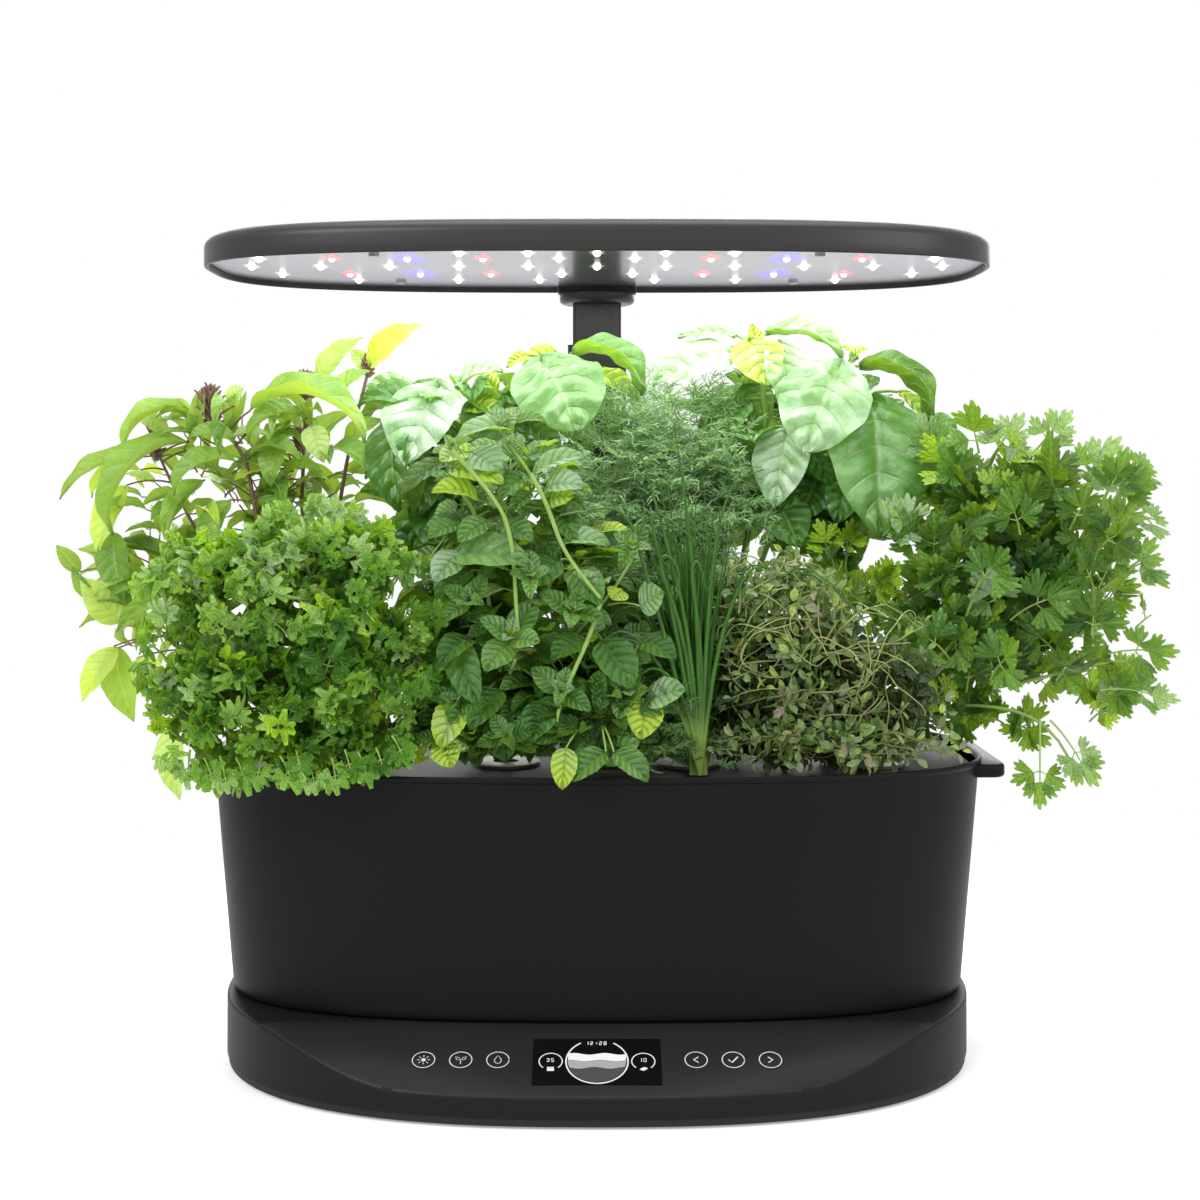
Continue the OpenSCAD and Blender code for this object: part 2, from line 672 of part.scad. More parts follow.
module float_guide() color("#4b4e50") translate([float_x, float_y, bowl_floor_z]) {
    cylinder(h = float_stop, d = float_post_d + 6);
    cylinder(h = deck_under - fit - bowl_floor_z, d = float_post_d);
}

module water_float() color("#2f7fb5") translate([float_x, float_y, bowl_floor_z + float_stop]) difference() {
    cylinder(h = float_h, d = float_d);
    translate([0, 0, -eps]) cylinder(h = float_h + 2 * eps, d = float_post_d + 2 * slide);
}

// ---- Mast ----

module tube(z, length, w, d, wall, r) {
    translate([0, mast_y, z]) difference() {
        linear_extrude(length) round_rect(w, d, r);
        translate([0, 0, -eps]) linear_extrude(length + 2 * eps)
            round_rect(w - 2 * wall, d - 2 * wall, max(r - wall, 0.8));
    }
}

module mast_foot() color("#1c1b1b") translate([0, mast_y, base_h]) difference() {
    linear_extrude(mast_foot_h) round_rect(mast_foot_w, mast_foot_d, mast_corner + 2);
    translate([0, 0, -eps]) linear_extrude(mast_foot_h + 2 * eps)
        round_rect(mast_outer_w + 2 * fit, mast_outer_d + 2 * fit, mast_corner);
    for (side = [-1, 1]) translate([side * mast_screw_x, 0, -eps])
        cylinder(h = mast_screw_bite + 1 + eps, d = screw_d + 2 * pin_fit);
}

module mast_screws() color("#8f9296") for (side = [-1, 1])
    translate([side * mast_screw_x, mast_y, base_h - base_wall - screw_head_t])
        screw(base_wall + mast_screw_bite);

module mast_outer() color("#161616") tube(base_h, mast_outer_l - cap_h, mast_outer_w, mast_outer_d, mast_wall, mast_corner);

// A guide cap on the end of one tube, with a close opening for the next
module guide_cap(z, w, d, r, inner_w, inner_d) {
    translate([0, mast_y, z]) difference() {
        linear_extrude(cap_h) round_rect(w, d, r);
        translate([0, 0, -eps]) linear_extrude(cap_h + 2 * eps)
            round_rect(inner_w + 2 * slide, inner_d + 2 * slide, mast_corner - 1);
    }
}

module mast_cap_lower() color("#101010")
    guide_cap(outer_top - cap_h, mast_outer_w, mast_outer_d, mast_corner, mast_middle_w, mast_middle_d);

module mast_middle() color("#181818") tube(middle_z, middle_l - cap_h, mast_middle_w, mast_middle_d, slider_wall, mast_corner - 1);

module mast_cap_upper() color("#101010")
    guide_cap(middle_top - cap_h, mast_middle_w, mast_middle_d, mast_corner - 1, mast_top_w, mast_top_d);

// Outline of the groove's face: a slot with an arched upper end
function arch(w, h) = concat([[-w / 2, 0], [w / 2, 0]],
    [for (i = [0:12]) [w / 2 * cos(15 * i), h - w / 2 + w / 2 * sin(15 * i)]]);

module mast_top() color("#191919") difference() {
    tube(top_z, top_l, mast_top_w, mast_top_d, slider_wall, mast_corner - 1);
    translate([0, mast_y - mast_top_d / 2 + groove_t, top_z - eps]) rotate([90, 0, 0])
        linear_extrude(groove_t + eps) polygon(arch(groove_w, top_l - 1.5 + eps));
}

module lamp_lead() color("#0d0d0d") translate([0, mast_y, lead_z])
    cylinder(h = reflector_z - lead_z, d = lead_d);

module collar() color("#6d6d6d") translate([0, mast_y, collar_z]) difference() {
    union() {
        rotate_extrude() polygon(concat([[0, 0]],
            [for (a = [-90:15:0]) [collar_d / 2 - 4 + 4 * cos(a), 4 + 4 * sin(a)]],
            [[collar_d / 2, collar_t], [0, collar_t]]));
        translate([0, 0, -10]) linear_extrude(11)
            round_rect(mast_top_w - 2 * slider_wall - 2 * fit, mast_top_d - 2 * slider_wall - 2 * fit, 0.8);
    }
    translate([0, 0, -10 - eps]) cylinder(h = collar_t + 10 + 2 * eps, d = lead_d + 1.2);
}

// ---- Lamp hood ----

module bracket_outline(grow) {
    translate([0, bracket_back - bracket_l / 2]) round_rect(bracket_w + 2 * grow, bracket_l + 2 * grow, 6);
}

module hood_bracket() color("#131313") difference() {
    slab(bracket_z, bracket_t) bracket_outline(0);
    translate([0, mast_y, bracket_z - eps]) cylinder(h = bracket_t + 2 * eps, d = lead_d + 1.2);
    for (side = [-1, 1]) translate([side * bracket_screw_x, bracket_screw_y, bracket_z - eps]) {
        cylinder(h = bracket_t + 2 * eps, d = screw_d + 0.4);
        cylinder(h = screw_head_t + 0.3 + eps, d = screw_head_d + 2 * fit);
    }
}

module bracket_screws() color("#8f9296") for (side = [-1, 1])
    translate([side * bracket_screw_x, bracket_screw_y, bracket_z + 0.3]) screw(bracket_t + 5);

// One ring of the hood: height, and how far it lies inside the hood's outline
function hood_ring(z, inset) = [z, hood_w - 2 * inset, hood_d - 2 * inset, hood_square, 0, hood_y];

// Rings that round the hood's side into its top, for the skin that lies inside by a distance
function hood_rings(z, inset) = concat([hood_ring(z, inset)], [for (a = [0:22.5:90])
    hood_ring(hood_top - hood_round - inset + hood_round * sin(a),
              inset + 1.3 * hood_round * (1 - cos(a)))]);

module hood_shell() color("#343332") difference() {
    union() {
        difference() {
            loft(hood_rings(hood_z, 0), outline_steps);
            loft(hood_rings(hood_z - eps, hood_wall), outline_steps);
        }
        for (place = hood_screw_places) translate([place[0], place[1], heat_plate_z + heat_plate_t])
            cylinder(h = hood_inside_top - heat_plate_z - heat_plate_t + 1, d = boss_d);
        for (side = [-1, 1]) translate([side * bracket_screw_x, bracket_screw_y, bracket_z + bracket_t])
            cylinder(h = hood_inside_top - bracket_z - bracket_t + 1, d = boss_d);
    }
    slab(bracket_z - eps, bracket_t + eps) bracket_outline(fit);
    for (place = hood_screw_places) translate([place[0], place[1], heat_plate_z])
        cylinder(h = hood_inside_top - heat_plate_z - 1.5, d = screw_d + 2 * pin_fit);
    for (side = [-1, 1]) translate([side * bracket_screw_x, bracket_screw_y, bracket_z])
        cylinder(h = hood_inside_top - bracket_z - 1.5, d = screw_d + 2 * pin_fit);
}

// A flat sheet inside the hood, clear of the bracket and with its screw holes
module hood_sheet(z, t, inset) {
    difference() {
        slab(z, t) translate([0, hood_y])
            polygon(superellipse(hood_w - 2 * inset, hood_d - 2 * inset, hood_square, outline_steps));
        slab(z - eps, t + 2 * eps) bracket_outline(reflector_gap);
        for (place = hood_screw_places) translate([place[0], place[1], z - eps])
            cylinder(h = t + 2 * eps, d = screw_d + 0.4);
    }
}

module reflector() color("#c9cacc") hood_sheet(reflector_z, reflector_t, hood_wall + reflector_gap);

module led_board() color("#f1f1ee") hood_sheet(board_z, board_t, hood_wall + 5);

module heat_plate() color("#a7a9ab") hood_sheet(heat_plate_z, heat_plate_t, hood_wall + 12);

module hood_screws() color("#9a9c9f") for (place = hood_screw_places)
    translate([place[0], place[1], reflector_z - screw_head_t])
        screw(hood_inside_top - reflector_z - 3);

module leds(kind) {
    for (row = led_rows, led = row[1], side = led[1] == 0 ? [1] : [-1, 1]) if (led[0] == kind)
        translate([side * led[1] * led_reach_x - led_w / 2, hood_y + row[0] * led_reach_y - led_w / 2,
                   reflector_z - led_h]) cube([led_w, led_w, led_h]);
}

module leds_white() color("#fff7e0") leds("w");

module leds_red() color("#ff2a2a") leds("r");

module leds_blue() color("#3a4bff") leds("b");

// ---- Plants: plain closed bodies of the space that each one fills ----

// A plant is one clump or several that run into each other. A clump is rings of [height above the
// pod, x, y, width, depth] from the pod's own axis, as drawn. A plant grows towards the lamp and
// spreads with the room between the pods, and behind them up to the mast.
module plant(pod, clumps) {
    place = pod_places[pod];
    spread_x = pod < front_pods ? front_pitch / 96 : back_pitch / 77;
    spread_y = pod < front_pods ? row_y / 44 : (mast_y - mast_outer_d / 2 - row_y) / 64;
    union() for (rings = clumps)
        loft([for (r = rings) [plant_z + r[0] * plant_room / 264.4, r[3] * spread_x, r[4] * spread_y, 2,
                               place[0] + r[1] * spread_x, place[1] + r[2] * spread_y]], ring_steps);
}

// A mound over the left end of the rim, with a clump out to the left and two that hang to the front
module curly_parsley() color("#4f8a2c") plant(0, [
    [[0, 0, 0, 6, 6], [8, 0, -4, 22, 20], [15, -8, -34, 104, 70], [40, -8, -36, 124, 84], [80, -6, -34, 126, 84],
     [112, -8, -32, 104, 70], [144, -10, -30, 44, 32]],
    [[38, -58, -26, 30, 30], [54, -66, -26, 50, 54], [86, -64, -24, 54, 58], [112, -54, -24, 34, 36]],
    [[10, -40, -50, 24, 18], [24, -42, -54, 50, 42], [56, -42, -54, 60, 48], [84, -40, -50, 40, 34]],
    [[12, 24, -50, 24, 18], [28, 26, -54, 52, 40], [62, 24, -54, 60, 46], [96, 20, -48, 40, 34]]]);

module mint() color("#3f7a34") plant(1, [
    [[0, 0, 0, 6, 6], [24, -1, -10, 14, 14], [52, 20, -24, 96, 46], [90, 22, -26, 116, 56],
     [140, 18, -26, 104, 54], [170, 12, -26, 62, 38], [184, 8, -26, 22, 18]]]);

module chives() color("#5f9a3a") plant(2, [
    [[0, 0, 0, 10, 10], [40, 6, 4, 22, 18], [80, 20, 8, 48, 24], [112, 32, 8, 66, 26], [136, 40, 8, 40, 20]]]);

module thyme() color("#5c8350") plant(3, [
    [[0, 0, 0, 6, 6], [8, -2, -8, 20, 16], [16, -26, -24, 100, 40], [54, -26, -28, 122, 42],
     [86, -34, -28, 92, 40], [110, -40, -26, 40, 22]]]);

// A loose middle on thin stems, with one clump up to the right, one out to the left and one hanging
module thai_basil() color("#4c7d3a") plant(4, [
    [[0, 0, 0, 6, 6], [22, -6, -4, 16, 16], [58, -34, -6, 84, 62], [100, -46, -8, 116, 80], [142, -46, -8, 108, 76],
     [178, -40, -6, 70, 52], [194, -38, -6, 30, 24]],
    [[122, -12, -4, 36, 34], [150, -6, -2, 58, 56], [190, 0, -2, 60, 58], [220, 6, 0, 46, 42], [236, 12, 0, 24, 18]],
    [[78, -92, -12, 36, 34], [106, -104, -14, 76, 58], [146, -106, -14, 90, 64], [178, -94, -12, 78, 54],
     [198, -76, -10, 40, 28]],
    [[14, -108, -14, 24, 20], [40, -108, -16, 64, 42], [78, -106, -16, 78, 50], [102, -96, -14, 56, 40]]]);

module basil_left() color("#4f9a2e") plant(5, [
    [[0, 0, 0, 6, 6], [96, 0, 2, 8, 8], [110, 4, 4, 84, 72], [150, 8, 4, 102, 88],
     [190, 12, 4, 100, 84], [224, 10, 2, 50, 40]]]);

module dill() color("#6ba53c") plant(6, [
    [[0, 0, 0, 5, 5], [40, 8, -2, 16, 14], [76, 24, -8, 56, 56], [130, 27, -10, 68, 66],
     [180, 26, -10, 62, 58], [204, 26, -10, 24, 26]]]);

module basil_right() color("#539e30") plant(7, [
    [[0, 0, 0, 6, 6], [98, 0, 2, 8, 8], [112, 52, 8, 84, 72], [146, 54, 10, 122, 86],
     [196, 55, 6, 124, 82], [240, 46, 2, 50, 38]]]);

// A tall clump over the pod and a wider one that leans out over the right end and hangs past the rim
module flat_parsley() color("#3f8a35") plant(8, [
    [[0, 0, 0, 6, 6], [12, 14, -4, 20, 16], [24, 44, -30, 80, 66], [60, 56, -38, 100, 80], [110, 62, -38, 104, 80],
     [156, 70, -36, 80, 62], [186, 74, -36, 34, 26]],
    [[14, 92, -42, 44, 40], [30, 98, -44, 90, 66], [70, 110, -44, 114, 74], [112, 114, -44, 104, 70], [140, 112, -42, 56, 40]],
    [[96, 100, -40, 30, 26], [120, 112, -42, 72, 54], [150, 124, -42, 76, 54], [176, 128, -40, 36, 28]]]);

base_shell();
base_plate();
rubber_feet();
base_screws();
control_panel();
display_window();
display_module();
button_marks();
touch_pads();
control_board();
main_board();
dc_jack();
bowl();
bowl_connector();
grow_deck();
fill_lid();
fill_lid_pin();
pod_baskets();
grow_sponges();
pod_labels();
pump_housing();
pump_coil();
pump_impeller();
rotor_pin();
pump_filter();
riser_tube();
float_guide();
water_float();
mast_foot();
mast_screws();
mast_outer();
mast_cap_lower();
mast_middle();
mast_cap_upper();
mast_top();
lamp_lead();
collar();
hood_bracket();
bracket_screws();
hood_shell();
heat_plate();
led_board();
reflector();
hood_screws();
leds_white();
leds_red();
leds_blue();
thai_basil();
basil_left();
dill();
basil_right();
flat_parsley();
curly_parsley();
mint();
chives();
thyme();
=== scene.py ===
# %% [markdown]
# # A countertop herb garden
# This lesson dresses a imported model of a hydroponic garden: a black base with a sloping control
# panel, a water bowl with nine herbs, and a lamp hood on a telescoping mast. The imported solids
# come in as a fixed frame, and every piece made here sits on them, in metres, with +X to the
# right, -Y to the front and +Z up.

# %% The frame and its box
import json
import math
import random

import bmesh
import bpy
from mathutils import Matrix, Vector, noise


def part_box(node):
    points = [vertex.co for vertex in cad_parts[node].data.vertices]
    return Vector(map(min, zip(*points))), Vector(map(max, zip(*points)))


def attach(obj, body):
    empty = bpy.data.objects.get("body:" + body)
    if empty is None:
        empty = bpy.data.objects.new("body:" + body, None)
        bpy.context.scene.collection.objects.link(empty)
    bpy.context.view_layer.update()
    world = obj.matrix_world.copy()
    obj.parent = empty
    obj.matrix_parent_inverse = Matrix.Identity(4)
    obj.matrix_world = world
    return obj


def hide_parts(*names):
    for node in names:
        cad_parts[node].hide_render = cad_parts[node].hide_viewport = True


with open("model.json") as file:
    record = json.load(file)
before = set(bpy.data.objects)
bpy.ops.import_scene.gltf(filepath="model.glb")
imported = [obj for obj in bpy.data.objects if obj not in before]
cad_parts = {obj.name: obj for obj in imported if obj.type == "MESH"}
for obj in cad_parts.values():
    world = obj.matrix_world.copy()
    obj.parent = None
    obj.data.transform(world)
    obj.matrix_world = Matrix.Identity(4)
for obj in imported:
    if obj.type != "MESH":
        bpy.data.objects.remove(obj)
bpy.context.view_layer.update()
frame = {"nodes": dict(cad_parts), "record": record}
nodes = frame["nodes"]
scene = bpy.context.scene
MM = 0.001

# %% [markdown]
# ## Camera
# A product picture is taken from a few steps away with a longish lens, so that the sides stay
# upright. Tilting the camera down would make them lean, so the camera looks level and the lens
# is shifted instead, as on a view camera. Depth of field stays off, so every leaf is sharp.

# %% The camera
CAMERA_BACK, CAMERA_UP, LENS, SENSOR, SHIFT = 977, 306.8, 53.1, 36, (0.0025, -0.1)
camera = bpy.data.objects.new("camera", bpy.data.cameras.new("camera"))
scene.collection.objects.link(camera)
camera.location = (0, -CAMERA_BACK * MM, CAMERA_UP * MM)
camera.rotation_euler = (math.radians(90), 0, 0)
camera.data.sensor_width, camera.data.lens = SENSOR, LENS
camera.data.shift_x, camera.data.shift_y = SHIFT
camera.data.clip_start = 0.01
scene.camera = camera
print("camera at", tuple(round(v, 3) for v in camera.location), "lens", camera.data.lens)

# %% [markdown]
# ## Writing finishes as sums
# A shader is a graph of small nodes, and a long one is hard to read when each node and link is
# typed out. Here a Wire stands for one output socket. Adding or multiplying wires adds the Math
# node that does it, so a finish reads like a formula. Every other node comes from one method.

# %% Wires and finishes


class Wire:
    """One output socket of a finish's node tree, on which sums can be written."""

    def __init__(self, finish, socket):
        self.finish, self.socket = finish, socket

    def sum(self, operation, *values):
        return self.finish.node("ShaderNodeMath", {"operation": operation}, dict(enumerate(values)))

    def __add__(self, other):
        return self.sum("ADD", self, other)

    def __sub__(self, other):
        return self.sum("SUBTRACT", self, other)

    def __rsub__(self, other):
        return self.sum("SUBTRACT", other, self)

    def __mul__(self, other):
        return self.sum("MULTIPLY", self, other)

    def __pow__(self, other):
        return self.sum("POWER", self, other)

    def __abs__(self):
        return self.sum("ABSOLUTE", self)

    __radd__ = __add__
    __rmul__ = __mul__

    def steps(self, low, high):
        """0 below low, 1 above high and smooth between."""
        return self.finish.node("ShaderNodeMapRange", {"interpolation_type": "SMOOTHSTEP"},
                                {"Value": self, "From Min": low, "From Max": high})


class Finish:
    """The nodes of a material, or of the world: one shader and what feeds it."""

    def __init__(self, name, world=None, **constants):
        self.material = world or bpy.data.materials.new(name)
        self.material.use_nodes = True
        self.tree = self.material.node_tree
        self.shader = self.tree.nodes["Background" if world else "Principled BSDF"]
        self.output = self.tree.nodes["World Output" if world else "Material Output"]
        self.shaded = Wire(self, self.shader.outputs[0])
        for name, value in constants.items():
            self.set(name.replace("_", " "), value)

    def set(self, name, value, node=None):
        socket = (node or self.shader).inputs[name]
        if isinstance(value, Wire):
            self.tree.links.new(value.socket, socket)
        else:
            socket.default_value = value

    def node(self, kind, settings=None, inputs=None, out=0):
        made = self.tree.nodes.new(kind)
        for name, value in (settings or {}).items():
            if name == "stops":
                ramp = made.color_ramp
                for place, color in value[2:]:
                    ramp.elements.new(place).color = color
                for element, (place, color) in zip((ramp.elements[0], ramp.elements[-1]), value[:2]):
                    element.position, element.color = place, color
            else:
                setattr(made, name, value)
        for name, value in (inputs or {}).items():
            self.set(name, value, made)
        return Wire(self, made.outputs[out])

    def place(self):
        return self.node("ShaderNodeTexCoord", out="Object")

    def axes(self, vector):
        split = self.node("ShaderNodeSeparateXYZ", inputs={0: vector}).socket.node
        return [Wire(self, socket) for socket in split.outputs]

    def stretch(self, vector, scale):
        return self.node("ShaderNodeMapping", inputs={"Vector": vector, "Scale": scale})

    def grain(self, vector, scale, detail=2.0, rough=0.5):
        return self.node("ShaderNodeTexNoise", inputs={
            "Vector": vector, "Scale": scale, "Detail": detail, "Roughness": rough})

    def blend(self, share, one, two, blend_type="MIX"):
        mixed = self.node("ShaderNodeMix", {"data_type": "RGBA", "blend_type": blend_type}, {0: share}, out=2)
        self.set(6, one, mixed.socket.node)
        self.set(7, two, mixed.socket.node)
        return mixed

    def relief(self, height, depth, distance=0.001):
        self.set("Normal", self.node("ShaderNodeBump", inputs={
            "Strength": depth, "Distance": distance, "Height": height}))

    def skin(self, color):
        self.set("Base Color", color)

    def shine(self, color, strength):
        self.set("Emission Color", color)
        self.set("Emission Strength", strength)

    def mixed(self, share, one, two):
        return self.node("ShaderNodeMixShader", inputs={0: share, 1: one, 2: two})

    def let_through(self, share, color):
        """Lets light through from behind, in a colour of its own."""
        glow = self.node("ShaderNodeBsdfTranslucent", inputs={"Color": color})
        self.set("Surface", self.mixed(share, self.shaded, glow), self.output)

    def seen(self):
        """1 for a ray from the camera, off gloss or through glass, 0 for any other."""
        rays = self.node("ShaderNodeLightPath").socket.node.outputs
        kinds = [Wire(self, rays["Is %s Ray" % kind]) for kind in ("Camera", "Glossy", "Transmission")]
        return (kinds[0] + kinds[1] + kinds[2]).steps(0, 0.01)


def tone(r, g, b):
    """A colour given as it looks on a screen, from 0 to 255, as the linear value that shaders use."""
    return tuple(((v / 255 + 0.055) / 1.055) ** 2.4 if v > 10 else v / 3294.6 for v in (r, g, b)) + (1.0,)


def shift(color, factor):
    return tuple(min(1.0, v * factor) for v in color[:3]) + (1.0,)


# %% [markdown]
# ## Moulded plastics
# Most of the garden is injection-moulded plastic. Its mould is spark-eroded, so the surface has a
# fine even grain, which spreads the gloss. Handling adds broad, faint changes of gloss. One helper
# gives each part its own colour, gloss and grain.

# %% Plastics, metal and rubber


def moulded(name, color, gloss=0.5, grain=0.25, size=1400, sheen=0.5):
    finish = Finish(name, Specular_IOR_Level=sheen)
    place = finish.place()
    fine = finish.grain(place, size, 3)
    broad = finish.grain(place, 14, 3)
    finish.skin(finish.blend(fine * 0.5 + broad * 0.5, shift(color, 0.88), shift(color, 1.12)))
    finish.set("Roughness", broad * 0.12 + fine * 0.08 + (gloss - 0.1))
    finish.relief(fine, grain, 0.0002)
    return finish.material


def metal(name, color, gloss=0.3, brush=(1, 1, 1)):
    finish = Finish(name, Metallic=1.0)
    lines = finish.grain(finish.stretch(finish.place(), brush), 300, 4, 0.6)
    finish.skin(finish.blend(lines, shift(color, 0.85), shift(color, 1.1)))
    finish.set("Roughness", lines * 0.2 + (gloss - 0.1))
    finish.relief(lines, 0.1, 0.0002)
    return finish.material


def board(name, color):
    """Circuit board: lacquered sheet with copper tracks showing through as paler lines."""
    finish = Finish(name)
    place = finish.place()
    tracks = finish.node("ShaderNodeTexBrick", {"offset": 0.5}, {
        "Vector": place, "Scale": 90, "Mortar Size": 0.04, "Color1": (0, 0, 0, 1),
        "Color2": (0, 0, 0, 1), "Mortar": (1, 1, 1, 1)}, out="Fac")
    finish.skin(finish.blend(tracks, color, shift(color, 2.2)))
    finish.set("Roughness", tracks * 0.15 + 0.35)
    finish.relief(tracks, 0.2, 0.0002)
    return finish.material


finishes = {}
for make, rows in (
        (moulded, (
            ("base_black", (26, 25, 24), 0.50, 0.22, 1400, 0.10),
            ("plate_black", (34, 32, 31), 0.55, 0.3, 1400, 0.2),
            ("foot_rubber", (30, 30, 30), 0.85, 0.4, 500, 0.15),
            ("panel_satin", (34, 34, 33), 0.40, 0.12, 1800, 0.15),
            ("display_grey", (110, 120, 128), 0.4),
            ("print_grey", (200, 200, 198), 0.6, 0.1),
            ("jack_black", (24, 24, 24), 0.35, 0.15, 1400, 0.3),
            ("bowl_black", (18, 17, 17), 0.46, 0.20, 1600, 0.10),
            ("deck_grey", (60, 59, 57), 0.68, 0.35, 900, 0.12),
            ("lid_grey", (66, 65, 63), 0.62, 0.3, 900, 0.12),
            ("basket_grey", (82, 84, 80), 0.5, 0.3, 700),
            ("label_white", (226, 224, 216), 0.7, 0.25, 2600),
            ("pump_grey", (60, 63, 66), 0.45),
            ("impeller_white", (226, 226, 222), 0.35, 0.1),
            ("pin_ceramic", (236, 232, 224), 0.15, 0.05),
            ("float_blue", (52, 120, 170), 0.4, 0.2),
            ("mast_black", (28, 27, 27), 0.34, 0.12, 1500, 0.26),
            ("mast_foot_black", (32, 31, 31), 0.5, 0.3, 1400, 0.25),
            ("lead_black", (22, 22, 22), 0.6, 0.4, 400),
            ("collar_grey", (48, 48, 50), 0.34, 0.1, 1400, 0.3),
            ("bracket_black", (20, 20, 20), 0.42, 0.2, 1400, 0.2),
            ("hood_grey", (36, 35, 35), 0.38, 0.18, 1500, 0.36),
            ("led_board_white", (236, 236, 232), 0.4, 0.1),
        )),
        (metal, (
            ("screw_steel", (168, 170, 174), 0.35),
            ("pad_copper", (190, 120, 70), 0.3),
            ("pin_steel", (190, 192, 196), 0.25, (1, 40, 40)),
            ("coil_copper", (184, 104, 52), 0.35, (1, 1, 30)),
            ("heat_aluminium", (182, 184, 188), 0.4, (1, 30, 30)),
        )),
        (board, (
            ("board_green", (28, 84, 48)),
        ))):
    for name, color, *more in rows:
        finishes[name] = make(name, tone(*color), *more)
print("plain finishes:", len(finishes))

# %% [markdown]
# A few finishes need their own pattern: the foam of the inlet filter and of the sponges is full of
# holes, the riser tube is milky, and the reflector under the lamp is a sheet of satin aluminium
# with a lacquer on it, grey rather than mirror-bright, which blurs whatever stands below it.

# %% Foam, milky tube and reflector


def foam(name, color, cell):
    finish = Finish(name, Roughness=0.95)
    pores_and_shade = finish.node("ShaderNodeTexVoronoi", inputs={"Vector": finish.place(), "Scale": cell})
    # The pores are painted darker than the foam, as painted shade in them; the same pattern dents the surface.
    finish.skin(finish.blend(pores_and_shade, shift(color, 0.35), color))
    finish.relief(pores_and_shade, 1.0, 0.001)
    return finish.material


def milky(name, color):
    finish = Finish(name, Transmission_Weight=0.6, IOR=1.4)
    cloud = finish.grain(finish.place(), 60, 3)
    finish.skin(finish.blend(cloud, shift(color, 0.85), color))
    finish.set("Roughness", cloud * 0.2 + 0.25)
    return finish.material


def satin_sheet(name, color, painted_glows):
    """A brushed sheet with a glow painted round each diode, in its colour and as light of its own,
    drawn out from front to back. Each glow is its colour, its strength, how far it reaches in mm,
    and the places of the diodes to the right of the middle; the left is the same."""
    finish = Finish(name)
    place = finish.place()
    rolled = finish.grain(finish.stretch(place, (4, 90, 4)), 30, 4, 0.6)
    cloud = finish.grain(place, 9, 2)
    x, y, _ = finish.axes(place)
    folded = finish.node("ShaderNodeCombineXYZ", inputs={"X": abs(x), "Y": y * 0.4})
    skin, light = finish.blend(rolled * 0.5 + cloud * 0.5, shift(color, 0.9), shift(color, 1.06)), (0, 0, 0, 1)
    # Painted glow: round each diode the sheet takes the diode's colour and gives off light of its own.
    for hue, strength, reach, spots in painted_glows:
        painted_halo = 0
        for spot in spots:
            away = finish.node("ShaderNodeVectorMath", {"operation": "DISTANCE"},
                               {0: folded, 1: (spot[0] * MM, spot[1] * MM * 0.4, 0)}, "Value")
            painted_halo = (1 - away.steps(0.0012, reach * MM)) ** 2 + painted_halo
        skin = finish.blend(painted_halo * strength, skin, hue)
        light = finish.blend(painted_halo * strength, light, hue, "ADD")
    finish.skin(skin)
    finish.shine(light, 1.0)
    finish.set("Metallic", 0.75)
    finish.set("Roughness", rolled * 0.08 + cloud * 0.06 + 0.16)
    finish.relief(rolled, 0.04, 0.0002)
    return finish.material


def lit(name, color, strength):
    finish = Finish(name, Roughness=0.3)
    cloud = finish.grain(finish.place(), 500, 1)
    finish.skin(finish.blend(cloud, shift(color, 0.9), color))
    finish.shine(finish.blend(cloud, shift(color, 0.95), color), strength)
    return finish.material


finishes.update({
    "filter_black": foam("filter_black", tone(40, 40, 40), 700),
    "sponge_brown": foam("sponge_brown", tone(92, 66, 46), 500),
    "tube_clear": milky("tube_clear", tone(214, 220, 222)),
    "led_white": lit("led_white", tone(255, 250, 236), 6.0),
    "led_red": lit("led_red", tone(255, 150, 150), 3.0),
    "led_blue": lit("led_blue", tone(150, 150, 255), 5.0),
})
print("finishes:", len(finishes))

# %% [markdown]
# ## Outlines and skins
# The base, the bowl and the hood all share one kind of outline, between an ellipse and a box: a
# superellipse. A ring of vertices starts as a circle and is pressed into that outline. Extruding
# it and pressing the new ring into the next outline, again and again, gives the skin. Bridging
# rings would do too, but it can twist between two rings at one height. Rings set close together
# make a rounded edge.

# %% Rings, skins and pieces
OUTLINE = 192


def outline(angle, width, depth, square):
    c, s = math.cos(angle), math.sin(angle)
    return (width / 2 * math.copysign(abs(c) ** (2 / square), c),
            depth / 2 * math.copysign(abs(s) ** (2 / square), s))


def ring(bm, shape):
    """Adds one closed ring of edges, its vertices placed by shape(angle)."""
    turn = bm.verts.layers.float.new("turn")
    verts = bmesh.ops.create_circle(bm, segments=OUTLINE, radius=1)["verts"]
    for vert in verts:
        vert[turn] = math.atan2(vert.co.y, vert.co.x)
        vert.co = shape(vert[turn])
    return list({edge for vert in verts for edge in vert.link_edges})


def skin(bm, shapes):
    """Extrudes a ring from shape to shape, and closes both ends."""
    edges = start = ring(bm, shapes[0])
    turn = bm.verts.layers.float["turn"]
    for shape in shapes[1:]:
        grown = bmesh.ops.extrude_edge_only(bm, edges=edges)["geom"]
        edges = [item for item in grown if isinstance(item, bmesh.types.BMEdge)]
        for item in grown:
            if isinstance(item, bmesh.types.BMVert):
                item.co = shape(item[turn])
    for loop in (start, edges):
        bmesh.ops.contextual_create(bm, geom=loop)


def smooth(mesh, degrees=35):
    for polygon in mesh.polygons:
        polygon.use_smooth = True
    mesh.set_sharp_from_angle(angle=math.radians(degrees))


def mesh_of(bm, name):
    mesh = bpy.data.meshes.new(name)
    bm.to_mesh(mesh)
    bm.free()
    return mesh


def show(name, mesh, body, slot, stands_for=()):
    """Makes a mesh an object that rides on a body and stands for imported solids."""
    piece = bpy.data.objects.new(name, mesh)
    scene.collection.objects.link(piece)
    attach(piece, body)
    if stands_for:
        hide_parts(*stands_for)
    return piece


